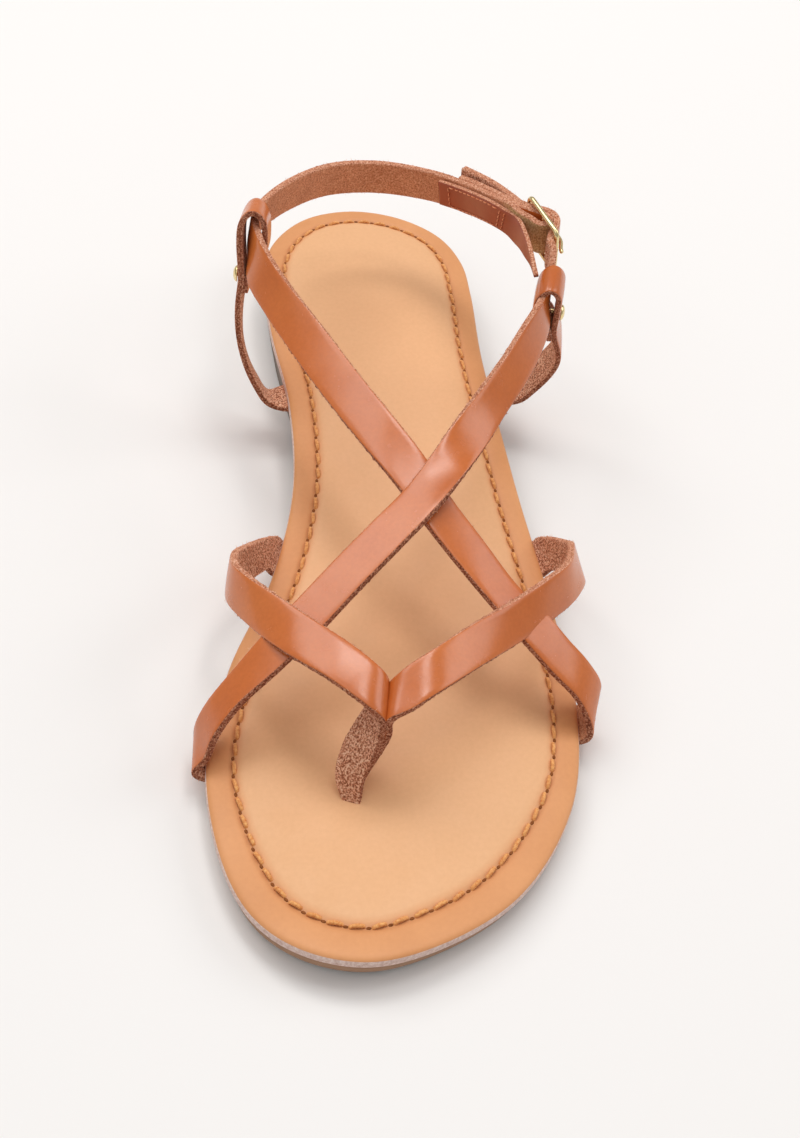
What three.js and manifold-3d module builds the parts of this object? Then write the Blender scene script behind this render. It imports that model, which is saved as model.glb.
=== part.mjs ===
// Women's flat gladiator sandal for the left foot, standing empty on its sole.
// Millimetres, +Z up, toe toward -Y, outer side of the foot toward +X.
import * as THREE from 'three';
import { mergeVertices } from 'three/addons/utils/BufferGeometryUtils.js';
import Module from 'manifold-3d';

// Driving dimensions
const GAP = 0.3;
const INSOLE_THICKNESS = 3.0;
const OUTSOLE_THICKNESS = 4.7;
const FOREFOOT_TOP = 8.0;
const HEEL_TOP = 16.0;
const RISE_START_Y = -49.0;
const RISE_END_Y = 54.0;
const SPRING_START_Y = -92.5;
const SPRING_RATE = 0.0024;
const HEEL_BREAST_Y = 40.5;
const OUTSOLE_INSET = 1.0;
const STRAP_WIDTH = 9.9;
const STRAP_THICKNESS = 1.9;
const LOOP_THICKNESS = 1.6;
const GUARD_THICKNESS = 1.2;
const WIRE_RADIUS = 0.7;
const BAR_RADIUS = 0.6;
const PRONG_RADIUS = 0.55;
const WIRE_SIDES = 10;
const ORIGIN_SHIFT = [0.17, 0.03, 0];

// Buckle placing: centre, direction of the strap, outward direction and up direction
const BUCKLE = {
  centre: [42.5, 58.8, 57.2],
  along: [-0.312, 0.949, 0.039],
  out: [0.943, 0.304, 0.139],
  up: [-0.12, -0.08, 0.99],
};
const BUCKLE_HALF_LENGTH = 7.8;
const BUCKLE_HALF_HEIGHT = 6.4;
const BUCKLE_CORNER = 1.8;

// Strap ends around the buckle as distances from its centre bar, along the strap and outward
const UNDER_RAIL = -(WIRE_RADIUS + GAP + STRAP_THICKNESS / 2);
const OVER_BAR = BAR_RADIUS + GAP + STRAP_THICKNESS / 2;
const OVER_FOLD = OVER_BAR + STRAP_THICKNESS;
const BILLET_AT_BUCKLE = [
  { along: -9.8, out: UNDER_RAIL },
  { along: -7.8, out: UNDER_RAIL },
  { along: -4.9, out: 0.4 },
  { along: -2.4, out: 2.9 },
  { along: 0.3, out: OVER_FOLD },
  { along: 2.9, out: 2.7 },
  { along: 5.2, out: 0.2 },
  { along: 7.8, out: UNDER_RAIL },
];
const FOLD_AT_BUCKLE = [
  { along: 9.3, out: -4.9 },
  { along: 5.2, out: -4.1 },
  { along: 1.4, out: -2.3 },
  { along: -0.7, out: -OVER_BAR },
  { along: -1.95, out: 0 },
  { along: -0.7, out: OVER_BAR },
  { along: 1.4, out: 1.6 },
  { along: 3.8, out: -0.1 },
  { along: 6.6, out: -2.4 },
];

function aroundBuckle(rows) {
  const offset = (axis, share) => BUCKLE[axis].map((value) => value * share);
  const sum = (...parts) => parts[0].map((_, i) => parts.reduce((total, part) => total + part[i], 0));
  return rows.map((row) => {
    const middle = sum(BUCKLE.centre, offset('along', row.along), offset('out', row.out));
    return {
      rear: sum(middle, offset('up', STRAP_WIDTH / 2)),
      front: sum(middle, offset('up', -STRAP_WIDTH / 2)),
    };
  });
}

// Bands as rows from end to end, each row the rear edge and the front edge of the leather's mid face
const MEDIAL_ARM = [
  { rear: [-16.5, -84.9, 2.6], front: [-12.9, -85.6, 3.6] },
  { rear: [-16.7, -83.7, 7.6], front: [-13.1, -84.4, 8.6] },
  { rear: [-18.5, -79.6, 12.5], front: [-12.9, -82.8, 13.4] },
  { rear: [-16.6, -74.6, 17.7], front: [-11.2, -81.2, 18.7] },
  { rear: [-11, -69.2, 25.7], front: [-9.4, -79, 25.8] },
  { rear: [-8.2, -68.7, 32.4], front: [-9.8, -78.5, 31.1] },
  { rear: [-9.6, -67.6, 35], front: [-12.8, -76.8, 33.4] },
  { rear: [-15.7, -61.6, 36.2], front: [-20.7, -69.9, 34.5] },
  { rear: [-23.4, -54, 35.5], front: [-28.5, -61.9, 32.4] },
  { rear: [-31.1, -46.1, 34.8], front: [-34.2, -53.5, 29] },
  { rear: [-36.8, -39.7, 33.8], front: [-38.3, -45.8, 26.1] },
  { rear: [-39.7, -34.1, 31.7], front: [-40.8, -39.5, 23.4] },
  { rear: [-39.7, -27.2, 28], front: [-41.1, -32.9, 19.9] },
  { rear: [-35.7, -18.4, 21.2], front: [-37.7, -26.2, 15.2] },
  { rear: [-30.8, -10.5, 14.7], front: [-33.4, -19.7, 11.7] },
  { rear: [-27.8, -5.8, 9.5], front: [-30.9, -16.3, 9.5] },
  { rear: [-27.1, -6, 7.9], front: [-30.3, -16.5, 7.9] },
  { rear: [-25.1, -6.6, 7.2], front: [-28.3, -17.1, 7.2] },
  { rear: [-18.3, -8.6, 7.2], front: [-21.4, -19.1, 7.2] },
];

const LATERAL_ARM = [
  { rear: [-15.9, -83.4, 1.8], front: [-12.4, -84.1, 2.8] },
  { rear: [-16.1, -82.2, 6.8], front: [-12.6, -82.9, 7.8] },
  { rear: [-17.7, -78.3, 11.5], front: [-12.5, -81.5, 12.5] },
  { rear: [-15.5, -73.7, 16.6], front: [-10.6, -80.3, 17.7] },
  { rear: [-9.5, -68.8, 25], front: [-7.9, -78.6, 25] },
  { rear: [-6.5, -69, 32.8], front: [-8.1, -78.8, 31.5] },
  { rear: [-4.5, -67.7, 34.9], front: [-3.9, -77.4, 32.7] },
  { rear: [1.6, -64.1, 36.7], front: [2.6, -73.4, 33.7] },
  { rear: [12.1, -55.9, 36], front: [13.3, -64.6, 31.6] },
  { rear: [22.3, -48.5, 34.8], front: [23.2, -55.9, 28.5] },
  { rear: [32.3, -40.4, 33.8], front: [33.7, -46.4, 26] },
  { rear: [38.2, -34.1, 31.9], front: [40, -39.5, 23.8] },
  { rear: [41.5, -24.7, 27.3], front: [44.9, -30.6, 20] },
  { rear: [43.2, -18.2, 21.4], front: [44.8, -26, 15.4] },
  { rear: [40.5, -10.7, 14.8], front: [43.1, -19.9, 11.8] },
  { rear: [39.4, -6.4, 9.5], front: [40.6, -17.3, 9.5] },
  { rear: [38.7, -6.4, 7.9], front: [40, -17.4, 7.9] },
  { rear: [36.6, -6.7, 7.2], front: [37.9, -17.6, 7.2] },
  { rear: [29.6, -7.5, 7.2], front: [30.8, -18.4, 7.2] },
];

const CROSSING_STRAP = [
  { rear: [-38.5, -65.5, 4.8], front: [-39.5, -76.1, 4.8] },
  { rear: [-45.6, -64.9, 4.8], front: [-46.5, -75.4, 4.8] },
  { rear: [-47.8, -64.7, 5.7], front: [-48.8, -75.2, 5.7] },
  { rear: [-48.7, -64.6, 7.6], front: [-49.6, -75.2, 7.6] },
  { rear: [-48.5, -64.3, 12.1], front: [-46.9, -74.2, 11.3] },
  { rear: [-45.8, -62.3, 17.6], front: [-45.1, -72.1, 16.3] },
  { rear: [-40.3, -58.2, 23.2], front: [-40.2, -68.1, 22.3] },
  { rear: [-33.7, -52.7, 28.9], front: [-30.8, -62.1, 28.3] },
  { rear: [-26.1, -46.2, 33.2], front: [-21.5, -55, 33.1] },
  { rear: [-17, -37.6, 37.3], front: [-11.8, -46.1, 37.9] },
  { rear: [-8.6, -29.8, 40.7], front: [-3, -37.9, 41.4] },
  { rear: [0.9, -20.3, 43.7], front: [7.1, -27.8, 44.9] },
  { rear: [11, -6.9, 49.1], front: [19, -10.5, 45.1] },
  { rear: [18.4, 2.5, 51.9], front: [25.8, 1.6, 45.3] },
  { rear: [26.2, 13.4, 53.9], front: [32.9, 13.1, 46.5] },
  { rear: [32.4, 23.6, 55], front: [38.5, 24.4, 47.2] },
  { rear: [37.3, 31, 56.4], front: [41.4, 33, 47.6] },
  { rear: [40.9, 38, 57.2], front: [42.2, 39.8, 47.5] },
  { rear: [42.6, 44.2, 59.2], front: [43.2, 46.2, 49.5] },
  ...aroundBuckle(BILLET_AT_BUCKLE),
  { rear: [36.7, 72.3, 59], front: [37.7, 73.5, 49.2] },
  { rear: [32.7, 83.6, 55.8], front: [34, 84, 46] },
  { rear: [26.4, 92.8, 53.7], front: [27.4, 93.1, 43.9] },
];

const HEEL_STRAP = [
  { rear: [33.3, -56.3, 4.8], front: [32.4, -66.9, 4.8] },
  { rear: [40.4, -56.9, 4.8], front: [39.5, -67.5, 4.8] },
  { rear: [42.6, -57.1, 5.7], front: [41.7, -67.7, 5.7] },
  { rear: [43.5, -57.2, 7.6], front: [42.6, -67.7, 7.6] },
  { rear: [45.5, -56.7, 13.3], front: [41.6, -65.8, 11.6] },
  { rear: [41.6, -54.4, 19.6], front: [38.1, -63.3, 17.3] },
  { rear: [36.7, -51.6, 24.1], front: [32.6, -60.4, 22] },
  { rear: [32.3, -47.8, 27.6], front: [27.1, -56.2, 26.3] },
  { rear: [25.1, -41, 30.9], front: [19.6, -49.3, 31.6] },
  { rear: [17.4, -31.8, 36.6], front: [10.8, -39.3, 36.7] },
  { rear: [10.2, -22.3, 41.3], front: [2.8, -28.9, 41.2] },
  { rear: [5.6, -14.2, 44.8], front: [-2.6, -19.5, 43.1] },
  { rear: [-0.5, -4.2, 47.5], front: [-8.8, -8.5, 43.8] },
  { rear: [-8.7, 10.9, 49.1], front: [-16.9, 7.2, 44.4] },
  { rear: [-17.4, 27.1, 51.4], front: [-25.2, 24.3, 45.7] },
  { rear: [-24.5, 38.5, 54.2], front: [-30.8, 37.6, 46.6] },
  { rear: [-29.5, 47.6, 56.5], front: [-34.4, 47.7, 47.8] },
  { rear: [-32.6, 56.7, 58.6], front: [-33.8, 56.7, 48.6] },
  { rear: [-32.6, 62.8, 58.8], front: [-33.6, 62.8, 48.8] },
  { rear: [-29.9, 69.8, 57.8], front: [-31.4, 69.7, 47.9] },
  { rear: [-21.8, 82.8, 55.2], front: [-23.3, 82.4, 45.3] },
  { rear: [-9.2, 96.5, 50.9], front: [-10.4, 96.2, 41] },
  { rear: [4.5, 101.1, 48.7], front: [4.6, 101.2, 38.7] },
  { rear: [18, 95.3, 50.2], front: [19.8, 95.5, 40.4] },
  { rear: [26.1, 85.6, 53.5], front: [28.2, 85.2, 43.8] },
  { rear: [32.4, 70.9, 59.5], front: [33, 72.5, 49.7] },
  ...aroundBuckle(FOLD_AT_BUCKLE),
  { rear: [34, 71.9, 59.4], front: [34.6, 73.5, 49.6] },
  { rear: [27.6, 86.7, 53.7], front: [29.6, 86.4, 43.9] },
  { rear: [25.2, 89.9, 52.6], front: [27.1, 89.7, 42.8] },
];

const INNER_LOOP = [
  { rear: [-16.1, 48.3, 12.5], front: [-15.1, 38.3, 12.5] },
  { rear: [-23.4, 47.6, 12.5], front: [-22.5, 37.6, 12.5] },
  { rear: [-28.5, 47.2, 10.6], front: [-28.5, 37.9, 14.4] },
  { rear: [-31.9, 49, 15.1], front: [-31.9, 39.8, 18.9] },
  { rear: [-34.4, 51, 20], front: [-34.4, 41.8, 23.8] },
  { rear: [-35.9, 53.5, 26.1], front: [-36.3, 44.2, 29.9] },
  { rear: [-36, 55.9, 32.1], front: [-37.1, 46.7, 35.9] },
  { rear: [-35.5, 57.9, 37.1], front: [-37, 48.7, 40.9] },
  { rear: [-34.9, 60.1, 42.5], front: [-36.4, 50.9, 46.3] },
  { rear: [-35.2, 61.8, 46.7], front: [-36.7, 52.6, 50.5] },
  { rear: [-35.5, 63.7, 51.3], front: [-37, 54.4, 55.1] },
  { rear: [-35, 65.4, 56.6], front: [-36.5, 56.2, 59.8] },
  { rear: [-32.4, 66.4, 60], front: [-33.9, 57.1, 62.4] },
  { rear: [-29.7, 65.7, 57.8], front: [-31.2, 56.5, 60.6] },
  { rear: [-29, 64.2, 52.6], front: [-30.5, 55, 56.4] },
  { rear: [-29.6, 62.6, 47.8], front: [-31.1, 53.4, 50.4] },
  { rear: [-32, 61.6, 45], front: [-33.5, 52.3, 47.9] },
  { rear: [-33.5, 60.6, 42.8], front: [-35, 51.4, 46.2] },
  { rear: [-33.9, 59, 39], front: [-35.4, 49.7, 42.6] },
];

const OUTER_LOOP = [
  { rear: [24.5, 50.3, 12.7], front: [25, 40.3, 12.7] },
  { rear: [31.9, 50.6, 12.7], front: [32.4, 40.6, 12.7] },
  { rear: [40.7, 50.2, 15], front: [40.7, 40.3, 13.8] },
  { rear: [43.9, 49.6, 19.4], front: [43.9, 39.7, 18.2] },
  { rear: [47.2, 49, 24.8], front: [46.8, 39.1, 23.6] },
  { rear: [49.3, 47.8, 30.8], front: [48.2, 38, 29.7] },
  { rear: [49.1, 46.9, 35.5], front: [47.5, 37.1, 34.4] },
  { rear: [47.8, 45.9, 40], front: [45.7, 36.3, 38.9] },
  { rear: [47, 45.3, 43.4], front: [44.6, 35.7, 42.3] },
  { rear: [46.6, 44.5, 47.4], front: [44.1, 34.9, 46.8] },
  { rear: [46.2, 43.6, 51.9], front: [43.7, 34.1, 51.3] },
  { rear: [45.4, 42.8, 56.9], front: [42.9, 33.2, 56.2] },
  { rear: [42.7, 42.6, 59.2], front: [40.2, 32.9, 58.5] },
  { rear: [40.6, 42.8, 57.1], front: [38.1, 33.2, 56.4] },
  { rear: [40.3, 43.4, 53], front: [37.8, 33.9, 51.9] },
  { rear: [41.1, 44.1, 48.7], front: [38.6, 34.5, 47.6] },
  { rear: [43.6, 44.5, 46.4], front: [41.1, 35, 45.3] },
  { rear: [45.2, 45, 44.2], front: [42.8, 35.4, 43.1] },
  { rear: [46, 45.7, 40.8], front: [43.8, 36, 39.7] },
];

const GUARD = [
  { rear: [19.8, 91.2, 50.2], front: [21.2, 91.3, 42.3] },
  { rear: [24.7, 84.5, 52.7], front: [26.6, 84.2, 45] },
  { rear: [30.7, 70.2, 58.6], front: [31.2, 71.5, 50.7] },
  { rear: [33.4, 65.2, 59.8], front: [33.6, 67, 52] },
  { rear: [35, 63, 60.2], front: [35, 64, 52.6] },
  { rear: [36.2, 60, 60.5], front: [36.3, 59.3, 53.3] },
  { rear: [36.8, 55.9, 60.5], front: [36.7, 54.8, 55] },
  { rear: [37.2, 51.1, 60.3], front: [37.2, 49.5, 56.2] },
  { rear: [37.4, 47.2, 59.8], front: [37.8, 45.5, 57] },
  { rear: [37.5, 42.9, 59.2], front: [37.8, 41.7, 57.7] },
  { rear: [37.6, 39.6, 58.7], front: [37.8, 39.4, 58] },
];

// Rows at which the heel strap and the loops come back onto themselves
const HEEL_STRAP_FOLD = 30;
const LOOP_FOLD = 12;

// Outer edge of the footbed seen from above
const FOOTBED_OUTLINE = [
  { x: 0.5, y: 123.7 },
  { x: 15, y: 120.7 },
  { x: 26.4, y: 111.9 },
  { x: 31.8, y: 99.5 },
  { x: 32.8, y: 84.9 },
  { x: 32.4, y: 55.1 },
  { x: 35.4, y: 12.2 },
  { x: 40.2, y: -31 },
  { x: 41, y: -60.1 },
  { x: 34.8, y: -87.5 },
  { x: 17.5, y: -110.8 },
  { x: -9, y: -123.3 },
  { x: -23.1, y: -122.3 },
  { x: -35, y: -115.3 },
  { x: -42.5, y: -103.2 },
  { x: -47.2, y: -74.4 },
  { x: -41.3, y: -46 },
  { x: -30.1, y: -19.1 },
  { x: -23.5, y: 8.6 },
  { x: -23.1, y: 37.4 },
  { x: -26.8, y: 66.8 },
  { x: -27.6, y: 95.5 },
  { x: -23.2, y: 108.9 },
  { x: -13.6, y: 119.4 },
];

// Rivets under the fold of each side loop: head and tail are distances from the loop's neck
const RIVETS = [
  { name: 'inner_side_rivet', at: [-35.3, 55.6, 44.2], out: [-1, 0.05, 0.02], head: 1.8, tail: 3.0 },
  { name: 'outer_side_rivet', at: [44.9, 41.5, 45.2], out: [0.97, -0.24, 0.05], head: 1.9, tail: 2.7 },
];
const RIVET_HEAD_RADIUS = 2.1;
const RIVET_HEAD_HEIGHT = 1.1;
const DOME_SHOULDER = { radius: 0.92, height: 0.45 };
const DOME_TOP = { radius: 0.6, height: 0.88 };
const RIVET_TAIL_RADIUS = 1.4;
const RIVET_TAIL_HEIGHT = 0.6;
const RIVET_SHANK_RADIUS = 0.7;
const RIVET_SIDES = 16;

const V = (p) => new THREE.Vector3(p[0], p[1], p[2]);

// Height of the footbed's upper face along the foot
function footbedTop(y) {
  const t = Math.min(1, Math.max(0, (y - RISE_START_Y) / (RISE_END_Y - RISE_START_Y)));
  const spring = Math.max(0, SPRING_START_Y - y);
  return FOREFOOT_TOP + (HEEL_TOP - FOREFOOT_TOP) * t * t * (3 - 2 * t) + SPRING_RATE * spring * spring;
}

function meshGeometry(points, triangles) {
  const geometry = new THREE.BufferGeometry();
  const places = points.flatMap((p) => [p.x, p.y, p.z]);
  geometry.setAttribute('position', new THREE.Float32BufferAttribute(places, 3));
  geometry.setIndex(triangles);
  let volume = 0;
  for (let i = 0; i < triangles.length; i += 3) {
    const [a, b, c] = [points[triangles[i]], points[triangles[i + 1]], points[triangles[i + 2]]];
    volume += a.dot(b.clone().cross(c)) / 6;
  }
  if (volume < 0) {
    for (let i = 0; i < triangles.length; i += 3) {
      [triangles[i + 1], triangles[i + 2]] = [triangles[i + 2], triangles[i + 1]];
    }
    geometry.setIndex(triangles);
  }
  return geometry;
}

// Joins closed or open rings of equal length into one skin
function skin(rings, closedRun) {
  const n = rings[0].length;
  const points = rings.flat();
  const triangles = [];
  const last = closedRun ? rings.length : rings.length - 1;
  for (let r = 0; r < last; r += 1) {
    const s = (r + 1) % rings.length;
    for (let i = 0; i < n; i += 1) {
      const j = (i + 1) % n;
      triangles.push(r * n + i, r * n + j, s * n + j, r * n + i, s * n + j, s * n + i);
    }
  }
  if (!closedRun) {
    const end = (rings.length - 1) * n;
    for (let i = 1; i + 1 < n; i += 1) {
      triangles.push(0, i + 1, i, end, end + i, end + i + 1);
    }
  }
  return meshGeometry(points, triangles);
}

// Leather band between a rear edge and a front edge
const RINGS_PER_ROW = 3;

function bandRings(rows, thickness, extraWidth) {
  const rear = new THREE.CatmullRomCurve3(rows.map((r) => V(r.rear)), false, 'centripetal');
  const front = new THREE.CatmullRomCurve3(rows.map((r) => V(r.front)), false, 'centripetal');
  const count = (rows.length - 1) * RINGS_PER_ROW;
  const samples = [];
  for (let i = 0; i <= count; i += 1) {
    samples.push([rear.getPoint(i / count), front.getPoint(i / count)]);
  }
  const centres = samples.map(([a, b]) => a.clone().add(b).multiplyScalar(0.5));
  return samples.map(([a, b], i) => {
    const along = centres[Math.min(i + 1, count)].clone().sub(centres[Math.max(i - 1, 0)]);
    const across = b.clone().sub(a).normalize();
    const normal = along.cross(across).normalize().multiplyScalar(thickness / 2);
    const from = a.clone().addScaledVector(across, -extraWidth);
    const to = b.clone().addScaledVector(across, extraWidth);
    return [
      from.clone().sub(normal),
      to.clone().sub(normal),
      to.clone().add(normal),
      from.clone().add(normal),
    ];
  });
}

// A band with a fold row comes back onto itself there and is joined where its layers meet
function band(rows, thickness, foldRow = 0, extraWidth = 0) {
  const rings = bandRings(rows, thickness, extraWidth);
  if (foldRow === 0) return solid(skin(rings, false));
  const split = foldRow * RINGS_PER_ROW;
  return solid(skin(rings.slice(0, split + 1), false)).add(solid(skin(rings.slice(split), false)));
}

// Room that a band takes in its neighbours, with the gap all round
function bandRoom(rows, thickness, foldRow = 0) {
  const grown = rows.map((row) => ({ ...row }));
  const lengthen = (end, next) => {
    for (const edge of ['rear', 'front']) {
      const step = V(end[edge]).sub(V(next[edge])).setLength(GAP);
      end[edge] = V(end[edge]).add(step).toArray();
    }
  };
  lengthen(grown[0], grown[1]);
  lengthen(grown[grown.length - 1], grown[grown.length - 2]);
  return band(grown, thickness + 2 * GAP, foldRow, GAP);
}

// Round wire along a path
function wire(path, radius, sides, closedRun) {
  const n = path.length;
  let lift = new THREE.Vector3(0, 0, 1);
  const rings = path.map((p, i) => {
    const before = closedRun ? path[(i + n - 1) % n] : path[Math.max(i - 1, 0)];
    const after = closedRun ? path[(i + 1) % n] : path[Math.min(i + 1, n - 1)];
    const along = after.clone().sub(before).normalize();
    if (i === 0) lift = V(BUCKLE.out);
    const u = lift.clone().addScaledVector(along, -lift.dot(along)).normalize();
    lift = u;
    const v = along.clone().cross(u);
    const ring = [];
    for (let k = 0; k < sides; k += 1) {
      const a = (2 * Math.PI * k) / sides;
      const out = p.clone().addScaledVector(u, radius * Math.cos(a));
      ring.push(out.addScaledVector(v, radius * Math.sin(a)));
    }
    return ring;
  });
  return skin(rings, closedRun);
}

// Footbed outline moved in by an inset, as its outer and inner side by station from toe to heel
const STATIONS = 40;
const OUTLINE_STEPS = 480;

function insetOutline(inset) {
  const knots = FOOTBED_OUTLINE.map((p) => new THREE.Vector3(p.x, p.y, 0));
  const curve = new THREE.CatmullRomCurve3(knots, true, 'centripetal');
  const turned = THREE.ShapeUtils.isClockWise(knots) ? -1 : 1;
  const points = [];
  for (let i = 0; i < OUTLINE_STEPS; i += 1) {
    const d = curve.getTangent(i / OUTLINE_STEPS);
    const inward = new THREE.Vector3(-d.y, d.x, 0).multiplyScalar(turned * inset);
    points.push(curve.getPoint(i / OUTLINE_STEPS).add(inward));
  }
  const toe = points.reduce((low, p) => (p.y < low.y ? p : low));
  const heel = points.reduce((high, p) => (p.y > high.y ? p : high));
  const sideOf = (from, to) => {
    const side = [];
    for (let i = points.indexOf(from); points[i] !== to; i = (i + 1) % OUTLINE_STEPS) side.push(points[i]);
    side.push(to);
    return side[0].y < side[side.length - 1].y ? side : side.reverse();
  };
  const middle = (side) => side[Math.floor(side.length / 2)].x;
  const sides = [sideOf(toe, heel), sideOf(heel, toe)].sort((a, b) => middle(b) - middle(a));
  const xAt = (side, y) => {
    const i = Math.max(1, side.findIndex((p) => p.y >= y));
    const t = (y - side[i - 1].y) / (side[i].y - side[i - 1].y || 1);
    return side[i - 1].x + (side[i].x - side[i - 1].x) * Math.min(1, Math.max(0, t));
  };
  const stations = [];
  for (let k = 0; k <= STATIONS; k += 1) {
    const y = toe.y + (heel.y - toe.y) * (0.5 - 0.5 * Math.cos((Math.PI * k) / STATIONS));
    const tip = k === 0 ? toe : heel;
    const end = k === 0 || k === STATIONS;
    stations.push({ y, outer: end ? tip.x : xAt(sides[0], y), inner: end ? tip.x : xAt(sides[1], y) });
  }
  return stations;
}

// Sole layer from rows of inset, share of the width kept and height of each row
function layer(rows, height) {
  const rings = rows.map((row) => {
    const stations = insetOutline(row.inset);
    const point = (station, x) => {
      const middle = (station.outer + station.inner) / 2;
      return new THREE.Vector3(middle + (x - middle) * row.width, station.y, height(station.y, row));
    };
    const outer = stations.map((station) => point(station, station.outer));
    const inner = stations.slice(1, STATIONS).reverse().map((station) => point(station, station.inner));
    return [...outer, ...inner];
  });
  const n = rings[0].length;
  const points = rings.flat();
  const triangles = [];
  for (let r = 0; r + 1 < rings.length; r += 1) {
    for (let i = 0; i < n; i += 1) {
      const j = (i + 1) % n;
      triangles.push(r * n + i, r * n + j, (r + 1) * n + j, r * n + i, (r + 1) * n + j, (r + 1) * n + i);
    }
  }
  const ladder = (start, flip) => {
    const face = (a, b, c) => triangles.push(start + a, start + (flip ? c : b), start + (flip ? b : c));
    face(0, 1, n - 1);
    for (let k = 1; k < STATIONS - 1; k += 1) {
      face(k, k + 1, n - k - 1);
      face(k, n - k - 1, n - k);
    }
    face(STATIONS - 1, STATIONS, STATIONS + 1);
  };
  ladder(0, true);
  ladder((rings.length - 1) * n, false);
  return meshGeometry(points, triangles);
}

const INSOLE_ROWS = [
  { inset: 0.3, width: 1, lift: -INSOLE_THICKNESS },
  { inset: 0, width: 1, lift: -INSOLE_THICKNESS + 0.5 },
  { inset: 0, width: 1, lift: -0.6 },
  { inset: 0.6, width: 1, lift: 0 },
  { inset: 5.6, width: 1, lift: 0.1 },
  { inset: 6.5, width: 1, lift: -0.3 },
  { inset: 7.6, width: 1, lift: 0.3 },
  { inset: 11, width: 1, lift: 0.8 },
  { inset: 11, width: 0.5, lift: 1.0 },
];
const OUTSOLE_TOP = -INSOLE_THICKNESS - GAP;
const OUTSOLE_BOTTOM = OUTSOLE_TOP - OUTSOLE_THICKNESS;
const OUTSOLE_ROWS = [
  { inset: OUTSOLE_INSET + 1.4, width: 1, lift: OUTSOLE_BOTTOM },
  { inset: OUTSOLE_INSET + 0.2, width: 1, lift: OUTSOLE_BOTTOM + 1.3 },
  { inset: OUTSOLE_INSET, width: 1, lift: OUTSOLE_TOP - 0.4 },
  { inset: OUTSOLE_INSET + 0.4, width: 1, lift: OUTSOLE_TOP },
];
const HEEL_ROWS = [
  { inset: 3.0, width: 1, foot: 0 },
  { inset: 2.4, width: 1, foot: 0.7 },
  { inset: 1.7, width: 1, lift: OUTSOLE_BOTTOM - GAP - 0.5 },
  { inset: 2.2, width: 1, lift: OUTSOLE_BOTTOM - GAP },
];
const HEEL_LEAST = 2.0;

const soleHeight = (y, row) => footbedTop(y) + row.lift;
const heelHeight = (y, row) => row.foot ?? Math.max(HEEL_LEAST, footbedTop(Math.max(0, y)) + row.lift);

// Everything in front of the heel's gently hollowed front face
const BREAST_HOLLOW = 6;
const BREAST_INNER_X = -26;
const BREAST_OUTER_X = 34;
const CUT_REACH = 160;

function heelBreastCut() {
  const shape = new THREE.Shape();
  shape.moveTo(-CUT_REACH, -CUT_REACH);
  shape.lineTo(CUT_REACH, -CUT_REACH);
  shape.lineTo(CUT_REACH, HEEL_BREAST_Y);
  shape.lineTo(BREAST_OUTER_X, HEEL_BREAST_Y);
  const middle = (BREAST_INNER_X + BREAST_OUTER_X) / 2;
  shape.quadraticCurveTo(middle, HEEL_BREAST_Y + BREAST_HOLLOW, BREAST_INNER_X, HEEL_BREAST_Y);
  shape.lineTo(-CUT_REACH, HEEL_BREAST_Y);
  const depth = CUT_REACH;
  const cut = new THREE.ExtrudeGeometry(shape, { depth, bevelEnabled: false, curveSegments: 12 });
  return cut.translate(0, 0, -CUT_REACH / 2);
}

// Rectangular buckle frame with rounded corners
const CORNER_STEPS = 4;

function buckleRing() {
  const [c, along, up] = [BUCKLE.centre, BUCKLE.along, BUCKLE.up].map(V);
  const x = BUCKLE_HALF_LENGTH - BUCKLE_CORNER;
  const y = BUCKLE_HALF_HEIGHT - BUCKLE_CORNER;
  const path = [];
  for (const [quarter, cornerX, cornerY] of [[0, x, y], [1, -x, y], [2, -x, -y], [3, x, -y]]) {
    for (let i = 0; i <= CORNER_STEPS; i += 1) {
      const angle = (Math.PI / 2) * (quarter + i / CORNER_STEPS);
      const s = cornerX + BUCKLE_CORNER * Math.cos(angle);
      const t = cornerY + BUCKLE_CORNER * Math.sin(angle);
      path.push(c.clone().addScaledVector(along, s).addScaledVector(up, t));
    }
  }
  return path;
}

// Buckle frame with the centre bar that carries strap and prong
function buckleBody(grow) {
  const [c, up] = [BUCKLE.centre, BUCKLE.up].map(V);
  const bar = [-1, 1].map((end) => c.clone().addScaledVector(up, end * BUCKLE_HALF_HEIGHT));
  const ring = solid(wire(buckleRing(), WIRE_RADIUS + grow, WIRE_SIDES, true));
  return ring.add(solid(wire(bar, BAR_RADIUS + grow, WIRE_SIDES, false)));
}

// Prong, curled around the centre bar and resting on the front rail
const PRONG_AT_BUCKLE = [
  { along: 0.6, out: -1.45 },
  { along: 1.55, out: -0.6 },
  { along: 1.35, out: 0.9 },
  { along: 0.2, out: 2.1 },
  { along: -2.2, out: 3.2 },
  { along: -4.8, out: 3.1 },
  { along: -7.5, out: 1.8 },
  { along: -8.9, out: 1.4 },
];
const PRONG_STEPS = 14;

function prongPath() {
  const [c, along, out] = [BUCKLE.centre, BUCKLE.along, BUCKLE.out].map(V);
  const knots = PRONG_AT_BUCKLE.map((row) => (
    c.clone().addScaledVector(along, row.along).addScaledVector(out, row.out)
  ));
  return new THREE.CatmullRomCurve3(knots, false, 'centripetal').getPoints(PRONG_STEPS);
}

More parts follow.
